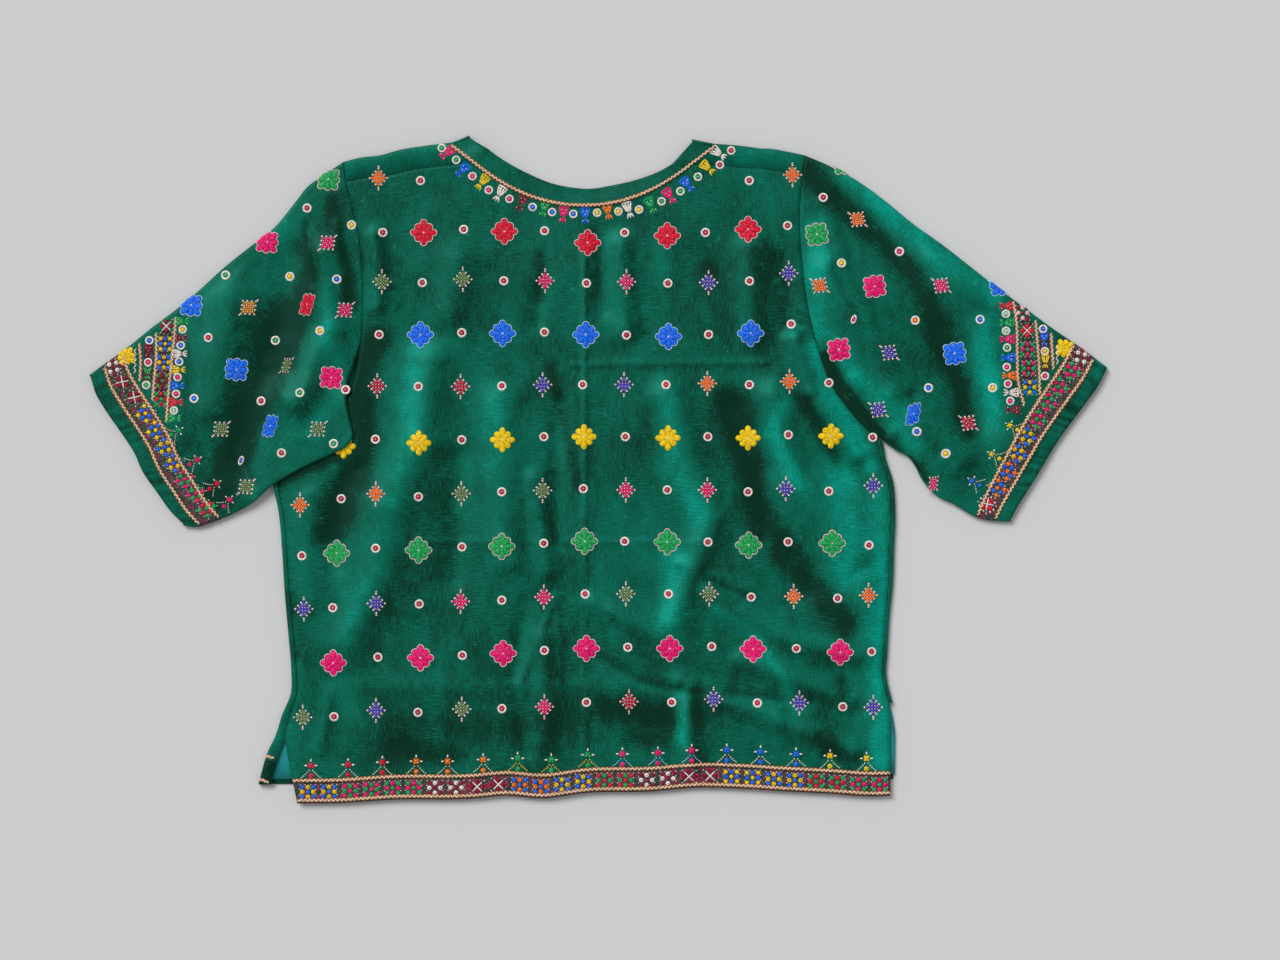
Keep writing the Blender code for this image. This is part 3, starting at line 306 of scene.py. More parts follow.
SUNK = -0.35  # stitches start this far inside the cloth
SLOPE_PAINTED_LIGHT = 5.0  # how much lighter the silk's colour is painted on a slope that faces the light: painted light
LIGHT_WAY = (-0.62, 0.79)
# painted light: the front's shoulder strips are painted lighter, against the shade of their turned
# edge
SHOULDER_PAINTED_LIGHT = 1.0
MARGIN_TONE = -2.4
ZIGZAG = 3.4  # the pitch of the braid's swung cord
SLEEVE_TURN = {"left": -50.2, "right": 55.0}  # degrees that each sleeve's motifs are turned by
NECK_CENTRE_X = -14.0
NECK_CENTRE_Y = 330.0

BODY_MOTIFS = (
    # motif, colour, then x and y of each
    ("flower", "crimson", ((-139.5, 189.5), (-75, 190.5), (-8.5, 181.5), (55, 187),
        (119.5, 192),)),
    ("flower", "blue", ((-142, 108), (-76.5, 109), (-10, 108), (56, 106.5), (121.5, 109),)),
    ("flower", "yellow", ((-143, 21.5), (-76.5, 24), (-11.5, 26.5), (55.5, 25.5), (119.5, 25.5),
        (185.5, 27), (-203.5, 19),)),
    ("flower", "green", ((-209, -66.5), (-143.5, -64), (-77, -61), (-11, -57), (55, -57.5),
        (120, -60), (186.5, -58.5),)),
    ("flower", "pink", ((-211.5, -154), (-142, -150), (-76, -146.5), (-9.5, -142.5), (57, -142.5),
        (123.5, -143), (193, -145.5),)),
    ("cluster", "orange", ((-175.5, 233), (155, 235.5), (87, 69), (152.5, 70.5), (-238, -28),
        (-177.5, -19), (156, -101), (215.5, -100),)),
    ("cluster", "white", ((-172.5, 150), (-108, 152), (-109.5, -19), (-44.5, -16.5), (22, -99),
        (88.5, -99), (-236, -197.5), (-109, -191),)),
    ("cluster", "pink", ((-42.5, 151), (22.5, 150), (22, -16), (87, -16), (-110, -105),
        (-43.5, -101.5), (-43, -189),)),
    ("cluster", "crimson", ((-176.5, 67), (-110, 66.5), (24.5, -185),)),
    ("cluster", "violet", ((88, 149.5), (152, 157), (-44.5, 68), (20.5, 68), (149.5, -15),
        (219.5, -12.5), (-235, -111), (-177, -106.5), (-177.5, -192), (92, -183), (160.5, -186),
        (219.5, -189.5),)),
    ("ring", "red", ((-142, 231), (120.5, 231), (-172, 189.5), (-107.5, 192), (-43, 191),
        (21, 189.5), (85.5, 189.5), (151, 195), (-140.5, 149.5), (-75.5, 151), (-9.5, 149),
        (55.5, 149), (120.5, 150.5), (-175, 108), (-109, 109.5), (-43, 110), (22.5, 107.5),
        (88, 108), (154, 116.5), (-143.5, 66.5), (-77, 67), (-12.5, 68), (54, 68), (120.5, 68),
        (184, 69.5), (-178, 24.5), (-109, 24), (-43.5, 26.5), (21.5, 26.5), (87.5, 26.5),
        (151.5, 28), (219, 26), (-205.5, -23), (-143.5, -21.5), (-77, -17.5), (-12, -15),
        (55, -16), (119.5, -17.5), (184, -17), (-236.5, -68.5), (-177.5, -62.5), (-109, -61.5),
        (-43.5, -58.5), (21, -57), (87.5, -57.5), (151.5, -57.5), (216, -60), (-212, -110),
        (-143, -107), (-77, -104), (-10.5, -99), (56, -99), (122, -101.5), (191, -102.5),
        (-176, -149.5), (-108.5, -148), (-43, -144), (23.5, -141.5), (90.5, -141), (158, -142.5),
        (218, -145), (-211, -197), (-144, -193.5), (-77, -190.5), (-9.5, -185.5), (58.5, -185.5),
        (127, -186), (195, -189),)),
)
LEFT_SLEEVE_MOTIFS = (
    # motif, colour, then x and y of each
    ("flower", "green", ((-215.5, 232),)),
    ("flower", "pink", ((-264.5, 182), (-213, 73.5),)),
    ("flower", "blue", ((-325, 131.5), (-288.5, 80),)),
    ("narrow_flower", "crimson", ((-232.5, 132),)),
    ("narrow_flower", "blue", ((-261.5, 35),)),
    ("cluster", "pink", ((-216, 181), (-202, 127.5),)),
    ("cluster", "gold", ((-279, 129.5),)),
    ("cluster", "white", ((-301, 32.5), (-223.5, 32.5), (-281, -13.5),)),
    ("narrow_cluster", "white", ((-249, 83.5),)),
    ("ring", "red", ((-232.5, 209), (-311, 105.5), (-269, 55), (-201.5, 64), (-252.5, 13.5),)),
    ("ring", "yellow", ((-197, 195.5), (-246.5, 154.5), (-222, 111),)),
    ("ring", "green", ((-297.5, 155.5), (-258, 103.5), (-237.5, 61.5), (-211, 21),)),
    ("ring", "blue", ((-208.5, 152), (-322.5, 57),)),
    ("narrow_ring", "blue", ((-285.5, 7.5),)),
)
RIGHT_SLEEVE_MOTIFS = (
    # motif, colour, then x and y of each
    ("flower", "green", ((196, 245), (174.5, 188),)),
    ("flower", "pink", ((220.5, 146.5), (192, 96),)),
    ("flower", "blue", ((284.5, 93), (321, 148),)),
    ("narrow_flower", "blue", ((251, 44.5),)),
    ("cluster", "orange", ((207, 200), (176.5, 147),)),
    ("cluster", "pink", ((273.5, 147),)),
    ("narrow_cluster", "pink", ((267.5, -11),)),
    ("cluster", "violet", ((232, 93.5), (223.5, 48),)),
    ("cluster", "crimson", ((295.5, 37.5),)),
    ("ring", "red", ((179.5, 217.5),)),
    ("ring", "pink", ((240.5, 174.5),)),
    ("narrow_ring", "pink", ((203.5, 120),)),
    ("ring", "yellow", ((194, 165), (314.5, 65.5), (277, 13),)),
    ("ring", "orange", ((253, 119.5),)),
    ("ring", "blue", ((304.5, 120), (263.5, 65.5), (254, 30.5),)),
)
NECK_MOTIFS = (
    # motif, colour, x, y, from the left shoulder round to the right one
    ("ring", "green", -125, 257), ("pendant", "pink", -121, 253),
    ("ring", "green", -113.5, 247.5), ("pendant", "blue", -109, 239),
    ("ring", "pink", -100.5, 234.5), ("pendant", "yellow", -93, 229.5),
    ("ring", "pink", -87.5, 223.5), ("pendant", "white", -79, 220.5),
    ("ring", "pink", -71, 216.5), ("pendant", "maroon", -61.5, 213),
    ("ring", "blue", -52.5, 210), ("pendant", "green", -43.5, 208.5), ("ring", "blue", -37, 206),
    ("pendant", "pink", -28, 204), ("ring", "blue", -20, 204.5), ("pendant", "blue", -10.5, 203),
    ("ring", "yellow", -1, 205.5), ("pendant", "orange", 7.5, 206.5),
    ("ring", "yellow", 16, 206.5), ("pendant", "white", 24, 207.5),
    ("ring", "yellow", 32.5, 208), ("pendant", "green", 42, 211), ("ring", "green", 50.5, 214.5),
    ("pendant", "pink", 57, 218.5), ("ring", "green", 65.5, 222.5),
    ("pendant", "blue", 71.5, 227.5), ("ring", "green", 79.5, 234),
    ("pendant", "yellow", 87.5, 241), ("ring", "red", 97, 243.5),
    ("pendant", "white", 96.5, 252.5), ("ring", "red", 106, 255),
)

FLOOR_Z = -0.0004
VIEW_CENTRE = (0.0332, -0.008)
VIEW_WIDTH = 1.024
LENS = 85.0
SENSOR = 36.0
WORLD_LIGHT = 0.5
SUN_POWER = 2.5
SUN_SPREAD = 32.0  # degrees across, which makes its shadows soft
SUN_HEIGHT = 48.0  # degrees above the floor
SUN_FROM = 128.0  # degrees round from +X: from beyond the left sleeve


def smooth(t):
    """0 to 1 with level ends."""
    t = np.clip(t, 0.0, 1.0)
    return t * t * (3.0 - 2.0 * t)


def along(points, shares):
    """Points at these shares of the length of a smooth curve through the given points."""
    p = np.array(points, float)
    knots = np.concatenate([[0.0], np.cumsum(np.linalg.norm(np.diff(p, axis=0), axis=1))])
    knots /= knots[-1]
    slope = np.gradient(p, knots, axis=0)
    t = np.clip(np.asarray(shares, float), 0.0, 1.0)
    k = np.clip(np.searchsorted(knots, t, side="right") - 1, 0, len(knots) - 2)
    span = knots[k + 1] - knots[k]
    s = ((t - knots[k]) / span)[:, None]
    span = span[:, None]
    return (
        (2 * s**3 - 3 * s**2 + 1) * p[k]
        + (s**3 - 2 * s**2 + s) * span * slope[k]
        + (-2 * s**3 + 3 * s**2) * p[k + 1]
        + (s**3 - s**2) * span * slope[k + 1]
    )


def coons(bottom, top, left, right, u, v):
    """The plan grid [row, column] that fills four edges. Left and right run bottom to top, and
    u and v are the columns' and rows' shares of the way."""
    u, v = u[None, :, None], v[:, None, None]
    return (
        (1 - v) * bottom[None] + v * top[None]
        + (1 - u) * left[:, None] + u * right[:, None]
        - (1 - u) * (1 - v) * bottom[0] - u * (1 - v) * bottom[-1]
        - (1 - u) * v * top[0] - u * v * top[-1]
    )


def relief(folds, x, y):
    """Height of the folds at x, y: each is a bell across the distance to its stretch. Where
    stretches meet, ridges don't pile up: fourth powers are added, ridges and troughs apart."""
    ridges, troughs = np.zeros_like(x), np.zeros_like(x)
    for x0, y0, x1, y1, half, top in folds:
        dx, dy = x1 - x0, y1 - y0
        t = np.clip(((x - x0) * dx + (y - y0) * dy) / (dx * dx + dy * dy), 0.0, 1.0)
        away = np.hypot(x - x0 - t * dx, y - y0 - t * dy)
        bell = (abs(top) * np.exp(-((away / half) ** 2))) ** 4
        if top > 0:
            ridges += bell
        else:
            troughs += bell
    return ridges**0.25 - troughs**0.25


def sheen(folds, bands, x, y, pinned):
    """Painted shade and highlight of the silk at x, y: its bands of painted sheen and shade, and
    the slope of its folds towards the light painted lighter or darker, which dies away where the
    folds are pinned."""
    table = [
        (*start, *stop, half, tone)
        for half, tone, *path in bands
        for start, stop in zip(path[:-1], path[1:])
    ]
    (across, up), step = LIGHT_WAY, 0.8
    rise = relief(folds, x + step * across, y + step * up)
    rise -= relief(folds, x - step * across, y - step * up)
    return relief(table, x, y) - SLOPE_PAINTED_LIGHT * pinned * rise / (2 * step)


def outward(edge):
    """Unit plan normals of an edge that has the cloth on its left."""
    d = np.gradient(edge, axis=0)
    n = np.stack([d[:, 1], -d[:, 0]], axis=1)
    return n / np.linalg.norm(n, axis=1)[:, None]


def at_rows(points, places):
    """The smooth curve through a table's points, at places counted in rows of the table."""
    p = np.array(points, float)
    knots = np.concatenate([[0.0], np.cumsum(np.linalg.norm(np.diff(p, axis=0), axis=1))])
    return along(p, np.interp(places, np.arange(len(p)), knots / knots[-1]))


def row_places(left, right, step):
    """Places about a step apart between a table's rows, each row itself among them."""
    spans = (
        np.linalg.norm(np.diff(left, axis=0), axis=1)
        + np.linalg.norm(np.diff(right, axis=0), axis=1)
    ) / 2
    counts = np.maximum(1, np.ceil(spans / step)).astype(int)
    parts = [row + np.arange(count) / count for row, count in enumerate(counts)]
    return np.concatenate([*parts, [len(left) - 1.0]])


def make_mesh(name, points, faces, material, point_values=None, grain=None):
    """One object from points in millimetres and arrays of faces, one array for each number of
    corners. point_values are named numbers or colours at its points, and grain its UV map."""
    sizes = np.concatenate([np.full(len(part), part.shape[1]) for part in faces])
    corners = np.concatenate([part.reshape(-1) for part in faces]).astype(np.int32)
    mesh = bpy.data.meshes.new(name)
    mesh.vertices.add(len(points))
    mesh.vertices.foreach_set("co", (points * MM).astype(np.float32).reshape(-1))
    mesh.loops.add(len(corners))
    mesh.loops.foreach_set("vertex_index", corners)
    mesh.polygons.add(len(sizes))
    starts = np.concatenate([[0], np.cumsum(sizes)[:-1]]).astype(np.int32)
    mesh.polygons.foreach_set("loop_start", starts)
    mesh.polygons.foreach_set("loop_total", sizes.astype(np.int32))
    mesh.update(calc_edges=True)
    mesh.shade_smooth()
    for key, values in (point_values or {}).items():
        values = np.asarray(values, np.float32)
        if values.ndim == 1:
            mesh.attributes.new(key, "FLOAT", "POINT").data.foreach_set("value", values)
        else:
            rgba = np.concatenate([values, np.ones((len(values), 1), np.float32)], axis=1)
            mesh.attributes.new(key, "FLOAT_COLOR", "POINT").data.foreach_set(
                "color", rgba.reshape(-1)
            )
    if grain is not None:
        layer = mesh.uv_layers.new(name="grain")
        layer.data.foreach_set("uv", (grain[corners] * MM).astype(np.float32).reshape(-1))
    mesh.validate()
    mesh.materials.append(material)
    made = bpy.data.objects.new(name, mesh)
    bpy.context.scene.collection.objects.link(made)
    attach(made, "root")
    return made


def cloth(name, outer, inward, material, keep=None, thick=SHELL, fold=None, angle=0.0):
    """A closed wall of cloth on a grid of points: the outer face, the inner face a thickness
    away along the inward ways, and a rim of quads wherever a kept cell has no neighbour.
    Grain runs across the piece at the given angle, and fold is stored at its points as the fold
    value: on silk it is painted shade and highlight, which the finish puts into the colour."""
    rows, columns = outer.shape[:2]
    keep = np.ones((rows - 1, columns - 1), bool) if keep is None else keep
    inner = outer + inward * thick
    points = np.concatenate([outer.reshape(-1, 3), inner.reshape(-1, 3)])
    r, c = np.nonzero(keep)
    quads = np.stack(
        [
            r * columns + c, r * columns + c + 1,
            (r + 1) * columns + c + 1, (r + 1) * columns + c,
        ],
        axis=1,
    )
    corner = outer.reshape(-1, 3)[quads]
    normal = np.cross(corner[:, 2] - corner[:, 0], corner[:, 3] - corner[:, 1])
    if (normal * inward.reshape(-1, 3)[quads[:, 0]]).sum() > 0:
        quads = quads[:, ::-1]
    shift = rows * columns
    edges = np.stack([quads, np.roll(quads, -1, axis=1)], axis=2).reshape(-1, 2)
    keys = edges[:, 0] * shift + edges[:, 1]
    free = edges[~np.isin(keys, edges[:, 1] * shift + edges[:, 0])]
    rim = np.stack([free[:, 1], free[:, 0], free[:, 0] + shift, free[:, 1] + shift], axis=1)
    used, index = np.unique(
        np.concatenate([quads, quads[:, ::-1] + shift, rim]), return_inverse=True
    )
    grid = outer[..., :2]
    c, s = math.cos(angle), math.sin(angle)
    grain = np.stack(
        [grid[..., 0] * c + grid[..., 1] * s, grid[..., 1] * c - grid[..., 0] * s], axis=2
    )
    grain = np.tile(grain.reshape(-1, 2), (2, 1))[used]
    fold = np.zeros(shift) if fold is None else fold.reshape(-1)
    # the fold value: painted shade and highlight that the silk's finish puts into the colour
    values = {"fold": np.tile(fold, 2)[used]}
    made = make_mesh(name, points[used], [index.reshape(-1, 4)], material, values, grain)
    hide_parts(name_of_node(name))
    return made


def name_of_node(name):
    """A visual piece is called after the node that it stands for, with cloth_ in front."""
    return name.removeprefix("cloth_")


class ClothHeight:
    """How high the top of some sheets of cloth is over a net of 1 mm squares. It is filled
    with points spread over every cell, the highest one counting, and its empty squares take
    the height of their neighbours. Between squares it is read off evenly."""

    LOW_X, LOW_Y, WIDE, HIGH = -412, -272, 825, 545

    def __init__(self, grids, floor=0.0):
        net = np.full((self.HIGH, self.WIDE), -1.0)
        for grid in grids:
            spread = self.refined(self.refined(grid).transpose(1, 0, 2))
            column = np.clip(np.rint(spread[..., 0] - self.LOW_X), 0, self.WIDE - 1).astype(int)
            row = np.clip(np.rint(spread[..., 1] - self.LOW_Y), 0, self.HIGH - 1).astype(int)
            np.maximum.at(net, (row, column), spread[..., 2])
        for _ in range(16):
            around = np.full((4, *net.shape), -1.0)
            around[0, 1:] = net[:-1]
            around[1, :-1] = net[1:]
            around[2, :, 1:] = net[:, :-1]
            around[3, :, :-1] = net[:, 1:]
            net = np.where(net < 0, around.max(axis=0), net)
        self.net = np.where(net < 0, floor, net)

    @staticmethod
    def refined(grid):
        steps = 1 + int(np.linalg.norm(np.diff(grid, axis=0), axis=2).max() / 0.6)
        place = np.arange((len(grid) - 1) * steps + 1) / steps
        low = np.minimum(place.astype(int), len(grid) - 2)
        share = (place - low)[:, None, None]
        return grid[low] * (1 - share) + grid[low + 1] * share

    def __call__(self, x, y):
        column = np.clip(x - self.LOW_X, 0, self.WIDE - 1.001)
        row = np.clip(y - self.LOW_Y, 0, self.HIGH - 1.001)
        c, r = column.astype(int), row.astype(int)
        u, v = column - c, row - r
        net = self.net
        return (
            (net[r, c] * (1 - u) + net[r, c + 1] * u) * (1 - v)
            + (net[r + 1, c] * (1 - u) + net[r + 1, c + 1] * u) * v
        )


def upright(grid, z):
    """A plan grid lifted to z."""
    return np.concatenate([grid, np.broadcast_to(z, grid.shape[:2])[..., None]], axis=2)


def ways(shape, z):
    """The same inward way, straight down or up, for a whole grid."""
    way = np.zeros((*shape, 3))
    way[..., 2] = z
    return way


def turn(tangent, out, radius, top, rising=True):
    """The half circle of cloth at a folded edge, as (points, ways) in [step, place] order.

    tangent holds the plan points where the circle starts, out the plan ways that it bulges,
    and top the height of its upper side. A rising turn starts at its underside."""
    angles = np.linspace(0, math.pi, FOLD_STEPS + 1)
    if not rising:
        angles = angles[::-1]
    s, c = np.sin(angles)[:, None], np.cos(angles)[:, None]
    plan = tangent[None] + (radius * s)[..., None] * out[None]
    z = np.broadcast_to(top, len(tangent))[None] - radius - radius * c
    way = np.concatenate([-s[..., None] * out[None], np.broadcast_to(c, z.shape)[..., None]], 2)
    return np.concatenate([plan, z[..., None]], axis=2), way


def armhole(side, half_gap):
    """The armhole seam's points above the underarm, moved half a seam's gap towards the body
    (positive) or the sleeve."""
    table = np.array(ARMHOLES)
    line = table[:, 0:2] if side == "left" else table[:, 2:4]
    inward = outward(line) if side == "left" else -outward(line)
    return line + inward * half_gap


def panel_edges(lower, column_left, column_right, gap, top_rows):
    """The left and right edges of a body panel, row by row from its hem to its shoulder.

    lower is a list of (y left, left, y right, right) rows below the vents."""
    table = np.array(SIDES)
    left = table[:, [column_left, 0]] + [gap, 0.0]
    right = table[:, [column_right, 3]] - [gap, 0.0]
    low = np.array(lower)
    holes = [armhole(side, SEAM_GAP / 2)[:top_rows] for side in ("left", "right")]
    return (
        np.concatenate([low[:, [1, 0]], left, holes[0]]),
        np.concatenate([low[:, [3, 2]], right, holes[1]]),
    )


def fill_panel(bottom, top, left, right):
    """A panel's plan: straight across from edge to edge, bent to its bottom and top."""
    rise = (left[:, 1] - left[0, 1]) / (left[-1, 1] - left[0, 1])
    rise += (right[:, 1] - right[0, 1]) / (right[-1, 1] - right[0, 1])
    v = (rise / 2)[:, None, None]
    share = (top[:, 0] - top[0, 0]) / (top[-1, 0] - top[0, 0])
    u = share[None, :, None]
    across = share[:, None]
    plan = (
        (1 - v) * (bottom - (bottom[0] + (bottom[-1] - bottom[0]) * across))[None]
        + v * (top - (top[0] + (top[-1] - top[0]) * across))[None]
        + (1 - u) * left[:, None] + u * right[:, None]
    )
    return plan, share


def neckline(shares, depth, elliptic):
    """The neck seam from the left shoulder fold to the right one."""
    a, b = np.array(SHOULDER_LEFT[-1]), np.array(SHOULDER_RIGHT[-1])
    if elliptic:
        s = -np.cos(math.pi * shares)
        drop = depth * np.sin(math.pi * shares)
    else:
        s = 2 * shares - 1
        drop = depth * (1 - np.abs(s) ** NECK_BACK_POWER)
    line = a + (b - a) * ((s + 1) / 2)[:, None]
    line[:, 1] -= drop
    line[[0, -1], 1] -= FOLD_RADIUS
    return line


def neck_shares():
    """Places along the back's neckline: its ends, where the shoulder seams meet it, and
    evenly between those."""
    line = neckline(np.linspace(0, 1, 401), NECK_BACK_DEPTH, False)
    left = SHOULDER_LEFT[-1][1] - SHOULDER_STRIP
    right = SHOULDER_RIGHT[-1][1] - SHOULDER_STRIP
    first = np.interp(-left, -line[:200, 1], np.linspace(0, 0.4975, 200))
    last = np.interp(right, line[201:, 1], np.linspace(0.5025, 1, 200))
    return np.concatenate([[0.0], np.linspace(first, last, NECK_PLACES), [1.0]])


def neck_drop(shares):
    """How far the unsupported back of the neck sinks towards the floor."""
    return NECK_SINK * np.sin(math.pi * np.clip(shares, 0, 1))


def down_by(points, amount):
    return points - np.array([0.0, amount])


def shoulder_seam(side):
    """The seam where the front, turned over a shoulder, meets the back: armhole to neck."""
    fold = SHOULDER_LEFT if side == "left" else SHOULDER_RIGHT
    line = down_by(along(fold, SHOULDER_SHARES), SHOULDER_STRIP)
    start = armhole(side, SEAM_GAP / 2)[-2]
    neck = neckline(neck_shares(), NECK_BACK_DEPTH, False)[[1, -2]]
    stop = neck[0] if side == "left" else neck[1]
    keep = SHOULDER_SHARES[:, None]
    return line + (start - line[0]) * (1 - keep) + (stop - line[-1]) * keep


def back_hem(x):
    """The back's lower edge at x."""
    table = np.array(HEM_BACK)
    low = along(HEM_BACK, np.linspace(0, 1, 81))
    return np.stack([x, np.interp(np.clip(x, *table[[0, -1], 0]), low[:, 0], low[:, 1])], axis=1)


def under_flap(x, y):
    """1 where the left sleeve's flap lies on the back, fading to 0 just outside its edges."""
    corner_x, corner_y = FLAP_CORNER
    low = corner_y + (x - corner_x) * FLAP_SLOPE
    right = smooth((corner_x + 2 * FLAP_FADE - x) / FLAP_FADE)
    return right * smooth((y - low) / FLAP_FADE + 2) * smooth((FLAP_HIGHEST - y) / FLAP_FADE)


def flap_lift(x, y):
    """How much higher the left sleeve lies where its flap is on the body."""
    across = smooth((x - LIFT_X[0]) / (LIFT_X[1] - LIFT_X[0]))
    return FLAP_LIFT * across * smooth((y - LIFT_Y[0]) / (LIFT_Y[1] - LIFT_Y[0]))


def pulled(curve, start, stop):
    """The curve with its ends drawn to start and stop, fading quickly along it."""
    share = np.linspace(0, 1, len(curve))[:, None]
    return curve + (start - curve[0]) * (1 - share) ** 6 + (stop - curve[-1]) * share**6


def cut_rows(sheet, way, start, stop):
    """The part of a sleeve's sheet between two places along it. A place is a distance back
    from the cuff, or None for the sheet's own end."""
    step = np.linalg.norm(np.diff(sheet[..., :2], axis=0), axis=2).mean(axis=1)
    marks = np.concatenate([np.cumsum(step[::-1])[::-1], [0.0]])
    high = marks[0] if start is None else start
    inside = marks[(marks < high - SHORTEST_CELL) & (marks > stop + SHORTEST_CELL)]
    places = np.concatenate([[high], inside, [stop]])
    if len(places) == 2:
        places = np.array([high, (high + stop) / 2, stop])

    def at(values):
        flat = values.reshape(len(marks), -1)
        made = np.stack([np.interp(-places, -marks, flat[:, k]) for k in range(flat.shape[1])], 1)
        return made.reshape(len(places), *values.shape[1:])

    return at(sheet), at(way)


def ripple(x, y):
    """The slight unevenness of hand-pressed silk: crossed waves of uneven length."""
    slow = np.sin(x / 23.0 + 1.7 * np.sin(y / 47.0)) * np.sin(y / 31.0 + 1.3 * np.sin(x / 39.0))
    quick = np.sin(x / 9.0 + 2.1 * np.sin(y / 21.0)) * np.sin(y / 12.0 + 1.1 * np.sin(x / 17.0))
    return 0.55 * slow + 0.16 * quick


def back_grid():
    """The back panel's plan, its distances from side and top edges, and how it sinks."""
    shares = neck_shares()
    middle = neckline(shares, NECK_BACK_DEPTH, False)[2:-2]
    top = np.concatenate([shoulder_seam("left"), middle, shoulder_seam("right")[::-1]])
    top = down_by(top, SEAM_GAP)
    flat = np.zeros(len(SHOULDER_SHARES) - 1)
    sink = np.concatenate([flat, neck_drop(shares)[1:-1], flat])
    left, right = panel_edges(BACK_VENTS[1:], 2, 5, SEAM_GAP, -1)
    left[-1], right[-1] = top[0], top[-1]
    share = (top[:, 0] - top[0, 0]) / (top[-1, 0] - top[0, 0])
    bottom = back_hem(left[0, 0] + (right[0, 0] - left[0, 0]) * share)
    bottom[:, 1] += BORDER_HEIGHT
    left[0], right[0] = bottom[0], bottom[-1]
    places = row_places(left, right, CELL)
    left, right = at_rows(left, places), at_rows(right, places)
    plan, share = fill_panel(bottom, top, left, right)
    width = (right - left)[:, 0][:, None]
    from_side = np.minimum(share[None], 1 - share[None]) * width
    from_top = top[:, 1][None] - plan[..., 1]
    return plan, from_side, from_top, sink


def back_folds(x, y, from_side, from_top):
    """The folds' height on the back, and its painted shade and highlight. Folds die away at seams
    and under the sleeve's flap."""
    pinned = smooth(from_side / PIN) * smooth(from_top / (2 * PIN)) * (1 - under_flap(x, y))
    height = relief(BODY_FOLDS, x, y) + relief(FINE_FOLDS, x, y) + ripple(x, y)
    return pinned * height, sheen(BODY_FOLDS + FINE_FOLDS, BODY_PAINTED_SHADE, x, y, pinned)


def build_back(silk, border, gold):
    """The back is its plan lifted to the height of its folds, its hem border carries on from
    the panel's lowest row, and two strips of braid cover the border's edges."""
    plan, from_side, from_top, sink = back_grid()
    fold, tone = back_folds(plan[..., 0], plan[..., 1], from_side, from_top)
    z = EDGE_HEIGHT + fold - sink[None] * smooth(1 - from_top / NECK_SINK_LENGTH)
    z = np.maximum(z, np.where(plan[..., 1] < LINING_TOP, LOWEST_OVER_LINING, LOWEST_BACK))
    panel = upright(plan, z)
    # the back's painted shade and highlight go to its colour as the fold value
    cloth("cloth_back_panel", panel, ways(z.shape, -1), silk, fold=tone)
    hem = back_hem(
        plan[0, :, 0] + np.linspace(BACK_VENTS[0][1] - BACK_VENTS[1][1], 0, len(plan[0]))
    )
    steps = np.linspace(0, 1, BAND_STEPS)[:, None, None]
    start = down_by(plan[0], SEAM_GAP)
    band = start[None] + (hem - start)[None] * steps
    pinned = smooth(from_side[0] / PIN)[None]
    band_fold = pinned * relief(BODY_FOLDS, band[..., 0], band[..., 1])
    z_band = np.maximum(EDGE_HEIGHT + band_fold, LOWEST_OVER_LINING)
    strip = upright(band, z_band)
    cloth(
        "cloth_hem_border_back", strip, ways(z_band.shape, -1), border,
        fold=band_fold,
    )
    step = np.array([0.0, 1.0])[:, None]
    ribbons = []
    for name, line, low, tops in (
        ("hem_braid_upper", plan[0], -BRAID_WIDTH / 2, (z[0], z_band[0], z_band[1])),
        ("hem_braid_lower", hem, BRAID_INSET, (z_band[-2], z_band[-1])),
    ):
        spread = np.repeat(line[None], 2, axis=0)
        spread[..., 1] += low + step * BRAID_WIDTH
        top = np.max(np.stack(tops), axis=0) + SEAM_GAP + BRAID_THICK / 2
        ribbon = upright(spread, top)
        cloth(
            f"cloth_{name}", ribbon, ways(spread.shape[:2], -1), gold,
            thick=BRAID_THICK / 2,
        )
        ribbons.append(ribbon)
    return [panel, strip], [ribbon.mean(axis=0) for ribbon in ribbons], ribbons


